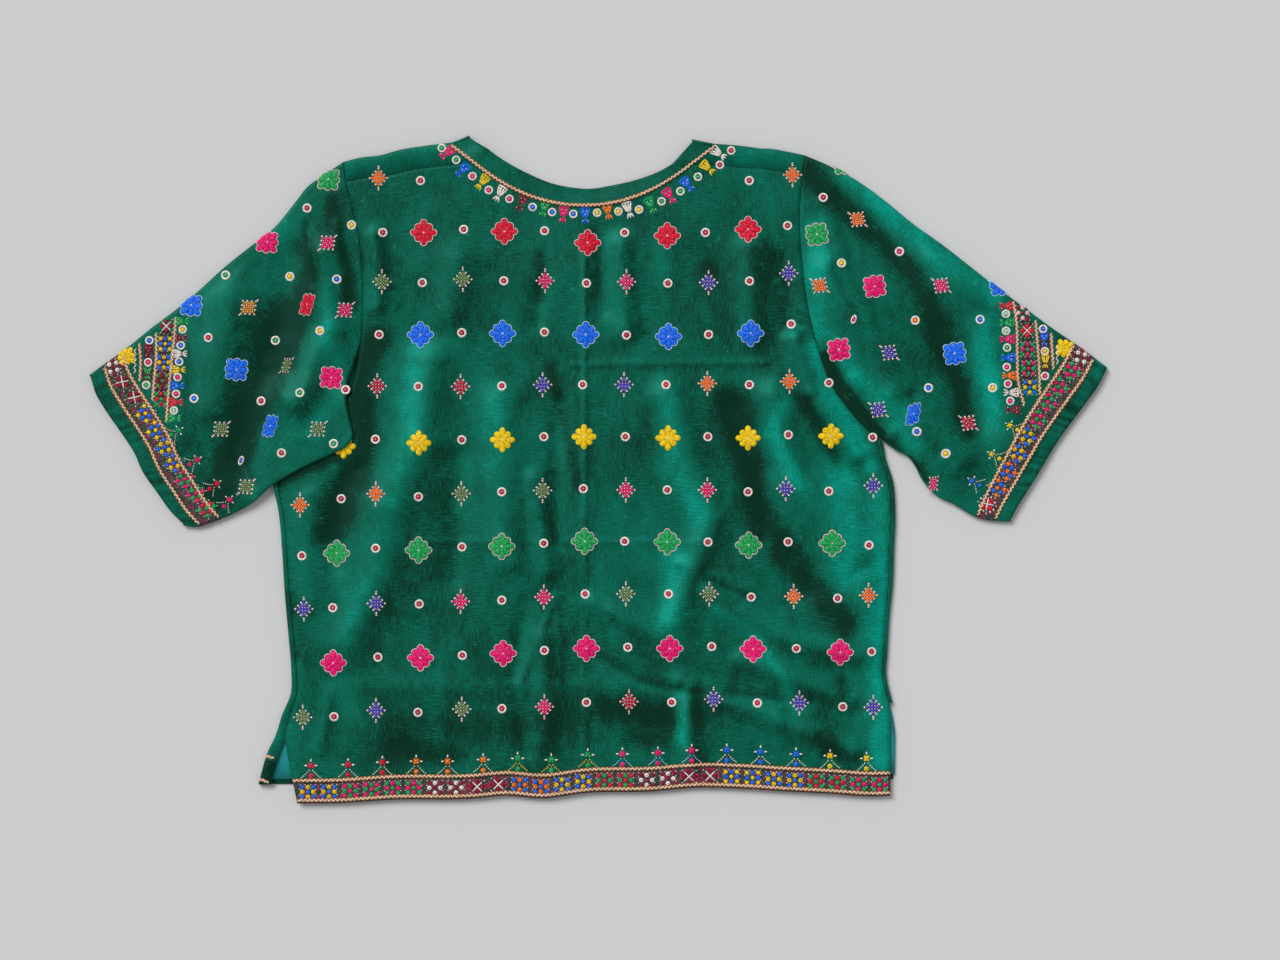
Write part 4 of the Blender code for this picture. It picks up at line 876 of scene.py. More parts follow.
def build_front(silk, lining):
    """The front lies on the floor. Its sides turn over onto the back's side of the blouse
    in half circles, and its shoulders turn over to the shoulder seams."""
    hem, above = FRONT_VENTS[:2]
    lowest = [
        (hem[0] + BORDER_HEIGHT, above[1], hem[3] + BORDER_HEIGHT, above[4]),
        *((row[0], row[1], row[3], row[4]) for row in FRONT_VENTS[2:]),
    ]
    left, right = panel_edges(lowest, 1, 4, 0.0, None)
    below = len(lowest)
    underarm = below + len(SIDES)
    left[:underarm, 0] += FOLD_RADIUS
    right[below:underarm, 0] -= FOLD_RADIUS
    neck = neckline(np.linspace(0, 1, NECK_PLACES), NECK_FRONT_DEPTH, True)[1:-1]
    folds = [
        down_by(along(fold, SHOULDER_SHARES), FOLD_RADIUS)
        for fold in (SHOULDER_LEFT, SHOULDER_RIGHT)
    ]
    top = np.concatenate([folds[0], neck, folds[1][::-1]])
    top[0], top[-1] = left[-1], right[-1]
    places = row_places(left, right, FRONT_CELL)
    left, right = at_rows(left, places), at_rows(right, places)
    share = (top[:, 0] - top[0, 0]) / (top[-1, 0] - top[0, 0])
    bottom = left[0] + (right[0] - left[0]) * share[:, None]
    plan, share = fill_panel(bottom, top, left, right)
    rows, columns = plan.shape[:2]
    extra = FOLD_STEPS + 1
    grid = np.zeros((rows + extra, columns + 2 * extra, 3))
    way = ways(grid.shape[:2], 1)
    grid[:rows, extra:-extra, :2] = plan
    keep = np.zeros((rows + extra - 1, columns + 2 * extra - 1), bool)
    keep[: rows - 1, extra : extra + columns - 1] = True
    sides = np.array(SIDES)
    low_left = [(above[2], lowest[0][0]), *((row[2], row[0]) for row in FRONT_VENTS[2:])]
    ends = (np.concatenate([low_left, sides[:, [2, 0]]]), sides[:, [5, 3]])
    stop = int(np.searchsorted(places, underarm - 1)) + 1
    for edge, row, end, sign, at in (
        (left, 0, ends[0], -1.0, np.arange(extra)[::-1]),
        (right, below, ends[1], 1.0, np.arange(extra) + extra + columns),
    ):
        first = int(np.searchsorted(places, row))
        span = slice(first, stop)
        out = np.tile([sign, 0.0], (stop - first, 1))
        points, inward = turn(edge[span], out, FOLD_RADIUS, EDGE_HEIGHT)
        grid[span, at[:-1]] = points[1:].transpose(1, 0, 2)
        way[span, at[:-1]] = inward[1:].transpose(1, 0, 2)
        margin = at_rows(end, places[span] - row)
        grid[span, at[-1]] = upright(margin[None], EDGE_HEIGHT)[0]
        way[span, at[-1]] = (0, 0, -1)
        low = min(at) - (sign > 0)
        keep[first : stop - 1, low : low + extra] = True
    count = len(SHOULDER_SHARES)
    for side, part in (
        ("left", slice(extra, extra + count)),
        ("right", slice(extra + columns - count, extra + columns)),
    ):
        seam = shoulder_seam(side)
        seam = seam if side == "left" else seam[::-1]
        up = np.tile([0.0, 1.0], (count, 1))
        points, inward = turn(grid[rows - 1, part, :2], up, FOLD_RADIUS, EDGE_HEIGHT)
        grid[rows:-1, part] = points[1:]
        way[rows:-1, part] = inward[1:]
        grid[-1, part] = np.concatenate([seam, np.full((count, 1), EDGE_HEIGHT)], axis=1)
        way[-1, part] = (0, 0, -1)
        keep[rows - 1 :, part.start : part.stop - 1] = True
    light = np.zeros(grid.shape[:2])
    # painted light on the front's turned shoulder strips
    light[rows - 1 :] = SHOULDER_PAINTED_LIGHT
    cloth("cloth_front_panel", grid, way, silk, keep, fold=light)
    margin = [build_front_hem(grid, way, keep, silk), grid[:8, : extra + 1]]
    build_lining(plan, lining)
    strips = [
        grid[rows + extra - 3 :, extra : extra + count],
        grid[rows + extra - 3 :, extra + columns - count : extra + columns],
    ]
    return strips, margin


def build_front_hem(grid, way, keep, silk):
    """The front's hem border, which carries on from its lowest row, turned margin and all."""
    used = np.nonzero(keep[0])[0]
    span = slice(used[0], used[-1] + 2)
    start = down_by(grid[0, span, :2], SEAM_GAP)
    hem, above = FRONT_VENTS[:2]
    ends = (hem[1] - above[1], hem[4] - above[4])
    shift = np.interp(start[:, 0], (above[2] + FOLD_RADIUS, above[4]), ends)
    stop = start + np.stack([shift, np.full(len(shift), SEAM_GAP - BORDER_HEIGHT)], axis=1)
    steps = np.linspace(0, 1, BAND_STEPS)[:, None, None]
    band = start[None] + (stop - start)[None] * steps
    z = np.broadcast_to(grid[0, span, 2], band.shape[:2])
    inward = np.broadcast_to(way[0, span], (*band.shape[:2], 3))
    dark = np.full(band.shape[:2], MARGIN_TONE)
    band = upright(band, z)
    cloth("cloth_hem_border_front", band, inward, silk, fold=dark)
    return band[:, : FOLD_STEPS + 2]


def build_lining(plan, lining):
    """The lining that shows in the side vents, lying inside the front along its hem."""
    rows = plan[:, 0, 1] < LINING_TOP - SEAM_GAP
    flat = plan[rows].copy()
    low = down_by(flat[0], BORDER_HEIGHT - LINING_RISE)
    flat = np.concatenate([low[None], flat])
    flat[:, 0, 0] += SEAM_GAP
    flat[:, -1, 0] -= SEAM_GAP
    top = CLOTH + SEAM_GAP + LINING
    cloth(
        "cloth_front_lining", upright(flat, top), ways(flat.shape[:2], -1), lining,
    )


def build_neck(silk, gold):
    """The band round the neck: the back's half on top, the front's on the floor with its ends
    turned up over the shoulders, and the braid that covers the back's seam."""
    shares = neck_shares()
    outer = neckline(shares, NECK_BACK_DEPTH, False)
    table = np.array(NECK_EDGE)
    x = table[0, 0] + (table[-1, 0] - table[0, 0]) * shares
    fine = along(table, np.linspace(0, 1, 200))
    inner = np.stack([x, np.interp(x, fine[:, 0], fine[:, 1])], axis=1)
    inner[[0, -1], 1] -= FOLD_RADIUS
    toward = (inner - outer) / np.linalg.norm(inner - outer, axis=1)[:, None]
    seam_side = outer + toward * SEAM_GAP
    steps = np.linspace(0, 1, BAND_STEPS)[:, None]
    band = seam_side[None] + (inner - seam_side)[None] * steps[..., None]
    sink = neck_drop(shares)
    z = EDGE_HEIGHT - sink[None] * (1 + NECK_BAND_SINK * steps)
    band_top = upright(band, z)
    cloth("cloth_neck_band_back", band_top, ways(z.shape, -1), silk)

    braid = np.stack([outer - toward * BRAID_WIDTH / 2, outer + toward * BRAID_WIDTH / 2])
    braid_z = EDGE_HEIGHT - sink[None] + 2 * SEAM_GAP + BRAID_THICK / 2
    ribbon = upright(braid, braid_z)
    cloth(
        "cloth_neck_braid", ribbon, ways((2, len(shares)), -1), gold,
        thick=BRAID_THICK / 2,
    )

    outer = neckline(np.linspace(0, 1, NECK_PLACES), NECK_FRONT_DEPTH, True)
    centre = (outer[0] + outer[-1]) / 2
    reach = np.linalg.norm(outer - centre, axis=1)[:, None]
    inner = centre + (outer - centre) * (reach - NECK_BAND) / reach
    inner[0], inner[-1] = down_by(table[0], FOLD_RADIUS), down_by(table[-1], FOLD_RADIUS)
    toward = (inner - outer) / np.linalg.norm(inner - outer, axis=1)[:, None]
    floor = np.stack([outer + toward * SEAM_GAP, inner], axis=1)
    up = np.tile([0.0, 1.0], (2, 1))
    (start, start_way), (stop, stop_way) = (
        turn(row, up, FOLD_RADIUS, EDGE_HEIGHT) for row in (floor[0], floor[-1])
    )
    for points in (start, stop):
        points[-1, :, 1] += SEAM_GAP
    flat = upright(floor, 0.0)
    grid = np.concatenate([start[:0:-1], flat, stop[1:]])
    way = np.concatenate([start_way[:0:-1], ways(flat.shape[:2], 1), stop_way[1:]])
    cloth("cloth_neck_band_front", grid, way, silk)
    return band_top, ribbon


def even_at_cuff(edge, length, share):
    """Places along a sleeve's underarm edge for its rows. Near the cuff they are as far apart
    as on the top fold, which has the given length, so that the cuff's strips keep their width."""
    own = np.linalg.norm(np.diff(along(edge, np.linspace(0, 1, 60)), axis=0), axis=1).sum()
    back = 1 - share
    return share - (length / own - 1) * back * share**3


def sleeve_sheet(side):
    """A sleeve as one sheet: the margin under its underarm edge, the upper layer, the turn at
    its top fold and the lower layer, in rows from the armhole to the cuff."""
    left = side == "left"
    top = SLEEVE_LEFT_TOP if left else SLEEVE_RIGHT_TOP
    cuff = SLEEVE_LEFT_CUFF if left else SLEEVE_RIGHT_CUFF
    edge = SLEEVE_LEFT_FLAP if left else SLEEVE_RIGHT_EDGE
    share = np.linspace(0, 1, SLEEVE_ROWS)
    underarm = np.array(SIDES[-1])
    under_margin = underarm[[2, 0]] if left else underarm[[5, 3]]
    seam = np.concatenate([[under_margin], armhole(side, -SEAM_GAP / 2)])
    places = row_places(seam, seam, CELL)
    hole = at_rows(seam, places)
    upward = places >= 1
    above_flap = places > FLAP_ROW + 1.02
    handed = -1.0 if left else 1.0
    top_edge = along(top, share)
    fold_length = np.linalg.norm(np.diff(top_edge, axis=0), axis=1).sum()
    under_edge = along(edge, even_at_cuff(edge, fold_length, share))
    top_out, edge_out = -outward(top_edge) * handed, outward(under_edge) * handed
    top_out[0] = (0.0, 1.0)
    top_in = top_edge - top_out * FOLD_RADIUS
    top_in[0] = hole[-1]
    under_in = under_edge - edge_out * UNDERARM_RADIUS
    floor_end = underarm[[1, 0]] if left else underarm[[4, 3]]
    floor_end = floor_end + [handed * 2 * SEAM_GAP, 2 * SEAM_GAP]
    if left:
        upper_hole = np.concatenate([hole[above_flap][::-1], [under_in[0]]])
        lower_edge = along(SLEEVE_LEFT_UNDER, even_at_cuff(SLEEVE_LEFT_UNDER, fold_length, share))
        lower = hole[places >= 2][::-1]
    else:
        upper_hole = np.concatenate([hole[upward][::-1], [under_in[0]]])
        lower_edge = under_in
        lower = hole[upward][::-1]
    lower_edge = pulled(lower_edge, floor_end, lower_edge[-1])
    plans = []
    lower_hole = np.concatenate([lower, [floor_end]])
    for start, far in ((upper_hole, under_in), (lower_hole, lower_edge)):
        step = np.linalg.norm(np.diff(start, axis=0), axis=1)
        across = np.concatenate([[0.0], np.cumsum(step)]) / step.sum()
        stop = pulled(along(cuff, across), top_in[-1], far[-1])
        plans.append((coons(start, stop, top_in, far, across, share), across))
    (upper, across), (lower, _) = plans
    width = np.linalg.norm(upper[:, -1] - upper[:, 0], axis=1)[:, None]
    from_edge = np.minimum(across[None], 1 - across[None]) * width
    length = np.linalg.norm(top_edge[-1] - top_edge[0])
    pinned = smooth(from_edge / PIN) * smooth(share[:, None] * length / PIN)
    x, y = upper[..., 0], upper[..., 1]
    fold = pinned * (relief(SLEEVE_FOLDS, x, y) + relief(SLEEVE_FINE_FOLDS, x, y) + ripple(x, y))
    # painted shade and highlight of the sleeve's silk
    tone = sheen(SLEEVE_FOLDS + SLEEVE_FINE_FOLDS, SLEEVE_PAINTED_SHADE, x, y, pinned)
    z = np.maximum(EDGE_HEIGHT + fold, LOWEST_BACK)
    if left:
        z = z + flap_lift(upper[..., 0], upper[..., 1])
    edge_turn, edge_way = turn(upper[:, -1], edge_out, UNDERARM_RADIUS, z[:, -1])
    tuck = edge_turn[0].copy()
    tuck[:, :2] -= edge_out * TUCK
    fold_turn, fold_way = turn(upper[:, 0], top_out, FOLD_RADIUS, z[:, 0], rising=False)
    sheet = np.concatenate(
        [
            tuck[:, None],
            edge_turn.transpose(1, 0, 2)[:, :-1],
            upright(upper, z)[:, ::-1],
            fold_turn.transpose(1, 0, 2)[:, 1:-1],
            upright(lower, 0.0),
        ],
        axis=1,
    )
    way = np.concatenate(
        [
            ways((SLEEVE_ROWS, 1), 1),
            edge_way.transpose(1, 0, 2)[:, :-1],
            ways(upper.shape[:2], -1),
            fold_way.transpose(1, 0, 2)[:, 1:-1],
            ways(lower.shape[:2], 1),
        ],
        axis=1,
    )
    # the painted shade and highlight, carried along the sheet as its fold value
    light = np.zeros(sheet.shape[:2])
    shown = slice(FOLD_STEPS + 1, FOLD_STEPS + 1 + upper.shape[1])
    light[:, shown] = tone[:, ::-1]
    light[:, shown.stop :] = tone[:, :1]
    return np.concatenate([sheet, light[..., None]], axis=2), way, shown


def painted_puckers(row):
    """The cuff band's painted shade and highlight along its length: lighter and darker bands
    painted for short creases at uneven distances.
    """
    steps = np.linalg.norm(np.diff(row[:, :3], axis=0), axis=1)
    place = np.concatenate([[0.0], np.cumsum(steps)])
    return -0.2 + 1.0 * np.sin(place / 1.35 + 1.9 * np.sin(place / 5.3)) * np.cos(place / 17.0)


def build_sleeve(side, silk, border, gold):
    """A sleeve, its cuff border and its cuff band are lengths of one sheet, and two strips of
    braid cover the border's edges."""
    sheet, way, shown = sleeve_sheet(side)
    angle = math.radians(35.0 if side == "left" else -35.0)
    band_end = CUFF_BAND + SEAM_GAP
    border_end = CUFF_BAND + CUFF_BORDER
    tops, ribbons = [], []
    for name, start, stop, material, slot in (
        (f"sleeve_{side}", None, border_end + SEAM_GAP, silk, "green_silk"),
        (f"cuff_border_{side}", border_end, band_end, border, "mirror_border"),
        (f"cuff_band_{side}", CUFF_BAND, 0.0, silk, "green_silk"),
    ):
        part, part_way = cut_rows(sheet, way, start, stop)
        if stop == 0.0:
            # painted shade and highlight of puckers on the cuff band
            part[..., 3] += painted_puckers(part[0])
        cloth(
            f"cloth_{name}", part[..., :3], part_way, material, fold=part[..., 3],
            angle=angle,
        )
        tops.append(part[:, shown, :3])
    for name, place in (("outer", CUFF_BAND), ("inner", border_end)):
        high, low = place + BRAID_WIDTH / 2, place - BRAID_WIDTH / 2
        strip, _ = cut_rows(sheet[:, shown], way[:, shown], high, low)
        z = strip[..., 2].max(axis=0) + SEAM_GAP + BRAID_THICK / 2
        strip = upright(strip[[0, -1], :, :2], z)
        node = f"cuff_braid_{name}_{side}"
        cloth(
            f"cloth_{node}", strip, ways(strip.shape[:2], -1), gold,
            thick=BRAID_THICK / 2,
        )
        ribbons.append(strip)
    return tops, ribbons


def linear(red, green, blue):
    """A colour given in the 0 to 255 steps of a screen, as light."""
    c = np.array([red, green, blue], float) / 255
    return np.where(c <= 0.04045, c / 12.92, ((c + 0.055) / 1.055) ** 2.4)


class Finish:
    """A material being built: each call adds a node and returns its first output."""

    def __init__(self, name, roughness, sheen=0.0, specular=0.5, tint=(1.0, 1.0, 1.0)):
        self.material = bpy.data.materials.new(name)
        self.material.use_nodes = True
        self.nodes = self.material.node_tree.nodes
        self.link = self.material.node_tree.links.new
        self.shader = self.nodes["Principled BSDF"]
        self.shader.inputs["Roughness"].default_value = roughness
        self.shader.inputs["Specular IOR Level"].default_value = specular
        self.shader.inputs["Sheen Weight"].default_value = sheen
        self.shader.inputs["Sheen Roughness"].default_value = 0.5
        for socket in ("Specular Tint", "Sheen Tint"):
            self.shader.inputs[socket].default_value = (*tint, 1.0)

    def add(self, kind, settings=None, **inputs):
        node = self.nodes.new(kind)
        for key, value in (settings or {}).items():
            setattr(node, key, value)
        for key, value in inputs.items():
            self.put(node.inputs[key.replace("_", " ")], value)
        return node

    def put(self, socket, value):
        if isinstance(value, bpy.types.NodeSocket):
            self.link(value, socket)
        else:
            socket.default_value = value

    def places(self, source="Object", scale=(1.0, 1.0, 1.0), turn=0.0):
        """Object coordinates, or the grain map, stretched by scale and turned."""
        if source == "Object":
            start = self.add("ShaderNodeTexCoord").outputs["Object"]
        else:
            start = self.add("ShaderNodeUVMap", {"uv_map": source}).outputs["UV"]
        mapping = self.add("ShaderNodeMapping", Vector=start, Scale=scale)
        mapping.inputs["Rotation"].default_value = (0.0, 0.0, turn)
        return mapping.outputs["Vector"]

    def noise(self, places, scale, detail=3.0, roughness=0.55, distortion=0.0):
        return self.add(
            "ShaderNodeTexNoise", Vector=places, Scale=scale, Detail=detail,
            Roughness=roughness, Distortion=distortion,
        ).outputs["Fac"]

    def ramp(self, value, low, high, start=0.0, stop=1.0):
        node = self.add("ShaderNodeMapRange", {"interpolation_type": "SMOOTHSTEP"}, Value=value)
        for key, number in (
            ("From Min", low), ("From Max", high), ("To Min", start), ("To Max", stop)
        ):
            node.inputs[key].default_value = number
        return node.outputs["Result"]

    def sum(self, a, b, kind="ADD"):
        node = self.add("ShaderNodeMath", {"operation": kind})
        self.put(node.inputs[0], a)
        self.put(node.inputs[1], b)
        return node.outputs[0]

    def mix(self, share, a, b, kind="MIX"):
        node = self.add(
            "ShaderNodeMix", {"data_type": "RGBA", "blend_type": kind, "clamp_factor": True}
        )
        self.put(node.inputs[0], share)
        self.put(node.inputs[6], (*a, 1.0) if isinstance(a, np.ndarray) else a)
        self.put(node.inputs[7], (*b, 1.0) if isinstance(b, np.ndarray) else b)
        return node.outputs[2]

    def value(self, name):
        return self.add("ShaderNodeAttribute", {"attribute_name": name}).outputs["Fac"]

    def finish(self, colour, height=None, strength=0.3, distance=0.0004, roughness=None):
        self.put(self.shader.inputs["Base Color"], colour)
        if roughness is not None:
            self.put(self.shader.inputs["Roughness"], roughness)
        if height is not None:
            bump = self.add("ShaderNodeBump", Strength=strength, Distance=distance, Height=height)
            self.put(self.shader.inputs["Normal"], bump.outputs["Normal"])
        return self.material


def silk_finish(name="green_silk"):
    """Shot silk: dark emerald crossed by teal. Cloudy patches of both come from soft noise at
    three sizes, fine slubs from noise stretched along the weft in some
    patches and along the warp in the others, and the fold value paints shade and highlight
    into the colour: painted shade and painted sheen along the folds. Small bright flecks stand
    where slubs of both ways cross, and where the cloth turns away the brown of the crossing
    threads shows."""
    f = Finish(name, 0.45, sheen=0.08, specular=0.26, tint=(0.2, 1.0, 0.8))
    clouds = f.noise(f.places(), 10.0, 3.0, 0.6, 0.4)
    patches = f.noise(f.places(scale=(1.0, 0.55, 1.0)), 42.0, 3.0, 0.6, 0.8)
    ripples = f.noise(f.places(scale=(1.0, 0.45, 1.0)), 130.0, 3.0, 0.6, 0.6)
    weft = f.noise(f.places("grain", (120.0, 1000.0, 1.0)), 1.0, 2.0, 0.6)
    warp = f.noise(f.places("grain", (1000.0, 120.0, 1.0)), 1.0, 2.0, 0.6)
    weave = f.noise(f.places("grain", (900.0, 900.0, 1.0)), 1.0, 1.0, 0.5)
    # painted shade and highlight from each piece's fold value
    folds = f.ramp(f.value("fold"), -5.0, 5.0, -0.52, 0.52)
    tone = f.sum(f.ramp(clouds, 0.3, 0.7, 0.15, 0.38), f.ramp(patches, 0.3, 0.72, -0.08, 0.09))
    tone = f.sum(f.sum(tone, f.ramp(ripples, 0.3, 0.72, -0.04, 0.05)), folds)
    where = f.ramp(patches, 0.42, 0.58), f.ramp(patches, 0.42, 0.58, 1.0, 0.25)
    streaks = f.sum(
        f.sum(f.ramp(weft, 0.36, 0.66, -0.11, 0.11), where[0], "MULTIPLY"),
        f.sum(f.ramp(warp, 0.36, 0.66, -0.09, 0.09), where[1], "MULTIPLY"),
    )
    tone = f.sum(f.sum(tone, streaks), f.ramp(weave, 0.3, 0.7, -0.08, 0.08))
    dark, middle, light = linear(3, 30, 12), linear(3, 92, 73), linear(0, 142, 124)
    colour = f.mix(f.ramp(tone, -0.1, 0.5), dark, middle)
    colour = f.mix(f.ramp(tone, 0.42, 1.0), colour, light)
    flecks = f.sum(f.ramp(weft, 0.6, 0.7), f.ramp(warp, 0.58, 0.68), "MULTIPLY")
    colour = f.mix(f.sum(flecks, 0.6, "MULTIPLY"), colour, linear(60, 180, 130))
    facing = f.add("ShaderNodeLayerWeight", Blend=0.35).outputs["Facing"]
    colour = f.mix(f.ramp(facing, 0.5, 0.95, 0.0, 0.6), colour, linear(44, 48, 24))
    threads = f.sum(f.sum(weft, warp), f.sum(weave, 0.6, "MULTIPLY"))
    return f.finish(colour, threads, 0.3, 0.0003, f.ramp(weft, 0.3, 0.7, 0.4, 0.52))


def border_finish():
    """The border's ground: dark green cloth speckled with fine stitches in maroon and brown."""
    f = Finish("mirror_border", 0.6, specular=0.2)
    coarse = f.noise(f.places(), 300.0, 2.0, 0.6)
    fine = f.noise(f.places(), 1300.0, 1.0, 0.5)
    colour = f.mix(f.ramp(coarse, 0.5, 0.62), linear(4, 52, 44), linear(110, 20, 52))
    colour = f.mix(f.ramp(fine, 0.58, 0.68, 0.0, 0.55), colour, linear(190, 130, 140))
    return f.finish(colour, f.sum(coarse, fine), 0.5, 0.0005)


def braid_finish():
    """The braid's ground: coppery brown thread ribbed across its length."""
    f = Finish("gold_braid", 0.55, specular=0.25)
    ribs = f.noise(f.places(), 1500.0, 1.0, 0.5)
    tone = f.noise(f.places(), 160.0, 2.0, 0.6)
    colour = f.mix(f.ramp(tone, 0.35, 0.65), linear(116, 68, 36), linear(156, 98, 56))
    colour = f.mix(f.ramp(ribs, 0.45, 0.62, 0.0, 0.7), colour, linear(70, 38, 20))
    return f.finish(colour, ribs, 0.6, 0.0005)


def lining_finish():
    """Smooth turquoise lining with a faint weave."""
    f = Finish("turquoise_lining", 0.5, specular=0.3)
    soft = f.noise(f.places(), 30.0, 3.0, 0.5)
    weave = f.noise(f.places("grain", (1400.0, 1400.0, 1.0)), 1.0, 1.0, 0.5)
    colour = f.mix(f.ramp(soft, 0.35, 0.65), linear(0, 112, 116), linear(10, 142, 142))
    return f.finish(colour, weave, 0.2, 0.0003)


def thread_finish():
    """Embroidery thread in small knots, which are the cells of a pattern of scattered points: each
    shape's own colour, with painted shade between the knots, lightened here and there, with
    ribs where threads of about half a millimetre lie side by side."""
    f = Finish("embroidery_thread", 0.55, specular=0.14)
    own = f.add("ShaderNodeAttribute", {"attribute_name": "thread"}).outputs["Color"]
    uneven = f.noise(f.places(), 850.0, 2.0, 0.6)
    knots = f.add("ShaderNodeTexVoronoi", Vector=f.places(), Scale=760.0).outputs["Distance"]
    grain = f.add("ShaderNodeUVMap", {"uv_map": "grain"}).outputs["UV"]
    across = f.add("ShaderNodeSeparateXYZ", Vector=grain).outputs["Y"]
    ribs = f.sum(f.sum(across, 2 * math.pi / (0.5 * MM), "MULTIPLY"), 0.0, "SINE")
    shade, tint = f.mix(0.55, own, linear(20, 0, 10)), f.mix(0.3, own, linear(255, 240, 235))
    # painted shade between the knots
    colour = f.mix(f.ramp(knots, 0.36, 0.7, 0.0, 0.7), own, shade)
    colour = f.mix(f.ramp(uneven, 0.56, 0.7, 0.0, 0.5), colour, tint)
    height = f.sum(f.sum(ribs, 0.3, "MULTIPLY"), f.sum(knots, -2.0, "MULTIPLY"))
    return f.finish(colour, height, 0.4, 0.0003)


def floor_finish():
    """A plain pale floor with the faintest unevenness."""
    f = Finish("pale_floor", 0.9, specular=0.1)
    soft = f.noise(f.places(), 3.0, 2.0, 0.5)
    return f.finish(f.mix(soft, linear(195, 195, 196), linear(197, 197, 198)))


# Thread colours, in the 0 to 255 steps of a screen.
THREADS = {
    "crimson": (222, 6, 48),
    "blue": (0, 108, 240),
    "yellow": (238, 204, 0),
    "green": (12, 164, 84),
    "pink": (236, 10, 112),
    "orange": (250, 118, 6),
    "violet": (62, 70, 190),
    "red": (196, 30, 62),
    "maroon": (132, 6, 44),
    "gold": (226, 146, 6),
    "white": (240, 228, 222),
    "blush": (240, 208, 206),
    "cream": (238, 220, 196),
    "pale_blue": (176, 212, 250),
    "pale_green": (160, 214, 176),
    "leaf": (84, 140, 74),
    "copper": (150, 84, 44),
    "pale_gold": (236, 206, 172),
    "dark": (70, 16, 22),
    "deep_blue": (0, 54, 168),
    "deep_green": (0, 104, 52),
    "deep_pink": (166, 0, 84),
    "rust": (176, 52, 0),
    "deep_violet": (34, 34, 130),
    "ground": (58, 28, 38),
}


def hue(name):
    return linear(*THREADS[name])


class Shape:
    """A small stitched shape: points in millimetres, faces by their number of corners, the
    number of each point's colour in a palette, and where it is across and along its threads."""

    def __init__(self, points, faces, shades, stitch):
        self.points, self.faces, self.shades, self.stitch = points, faces, shades, stitch

    def at(self, x, y, turn=0.0):
        c, s = math.cos(turn), math.sin(turn)
        px, py = self.points[:, 0], self.points[:, 1]
        moved = np.stack([x + px * c - py * s, y + px * s + py * c, self.points[:, 2]], axis=1)
        return Shape(moved, self.faces, self.shades, self.stitch)


def together(*shapes):
    """Several shapes as one."""
    starts = np.cumsum([0, *(len(shape.points) for shape in shapes)])
    faces = [part + start for shape, start in zip(shapes, starts) for part in shape.faces]
    return Shape(
        np.concatenate([shape.points for shape in shapes]),
        faces,
        np.concatenate([shape.shades for shape in shapes]),
        np.concatenate([shape.stitch for shape in shapes]),
    )


def ring_faces(rings, around):
    """Quads between rings of points, each ring inside the last, and the cap that closes them."""
    k, j = np.meshgrid(np.arange(rings - 1), np.arange(around), indexing="ij")
    k, j = k.reshape(-1), j.reshape(-1)
    after = (j + 1) % around
    quads = np.stack(
        [k * around + j, k * around + after, (k + 1) * around + after, (k + 1) * around + j], 1
    )
    return [quads, ((rings - 1) * around + np.arange(around))[None]]


def dome(radius, height, shade=0, around=8, wide=1.0):
    """A low dome: rings of points that rise as a quarter circle does, closed by a cap."""
    rise = np.array([0.0, 0.65, 1.15])
    turn = 2 * math.pi * np.arange(around) / around
    across = radius * np.cos(rise)[:, None]
    z = SUNK + (height - SUNK) * np.sin(rise) / math.sin(rise[-1])
    x, y = across * np.cos(turn) * wide, across * np.sin(turn)
    points = np.stack([x, y, np.broadcast_to(z[:, None], x.shape)], axis=2).reshape(-1, 3)
    return Shape(points, ring_faces(3, around), np.full(len(points), shade), points[:, :2])


def cord(path, half, height, shade=0, closed=False, lift=0.0):
    """A half-round cord: a half circle carried along a path, tapered where the path ends."""
    path = np.array(path, float)
    slope = (np.roll(path, -1, 0) - np.roll(path, 1, 0)) if closed else np.gradient(path, axis=0)
    slope /= np.linalg.norm(slope, axis=1)[:, None]
    side = np.stack([-slope[:, 1], slope[:, 0]], axis=1)
    steps = np.linalg.norm(np.diff(path, axis=0), axis=1)
    length = np.concatenate([[0.0], np.cumsum(steps)])
    size = np.ones(len(path))
    if not closed:
        size = np.sqrt(np.clip(np.minimum(length, length[-1] - length) / half, 0.06, 1.0))
    angle = np.linspace(0, math.pi, 5)
    across = half * size[:, None] * np.cos(angle)
    z = lift + SUNK + (height - SUNK) * size[:, None] * np.sin(angle)
    plan = path[:, None] + across[..., None] * side[:, None]
    points = np.concatenate([plan, z[..., None]], axis=2).reshape(-1, 3)
    count = len(path)
    i, j = np.meshgrid(np.arange(count if closed else count - 1), np.arange(4), indexing="ij")
    i, j = i.reshape(-1), j.reshape(-1)
    after = (i + 1) % count
    quads = np.stack([i * 5 + j, i * 5 + j + 1, after * 5 + j + 1, after * 5 + j], axis=1)
    stitch = np.stack([across, np.broadcast_to(length[:, None], across.shape)], axis=2).reshape(
        -1, 2
    )
    return Shape(points, [quads], np.full(len(points), shade), stitch)


def circle(radius, around):
    turn = 2 * math.pi * np.arange(around) / around
    return np.stack([radius * np.cos(turn), radius * np.sin(turn)], axis=1)


def petal_edge(turn):
    """How far a flower reaches in each direction: four long petals and four short ones."""
    wave = np.cos(4 * turn)
    return 7.1 + 3.2 * np.maximum(0, wave) ** 0.75 + 1.6 * np.maximum(0, -wave) ** 0.75


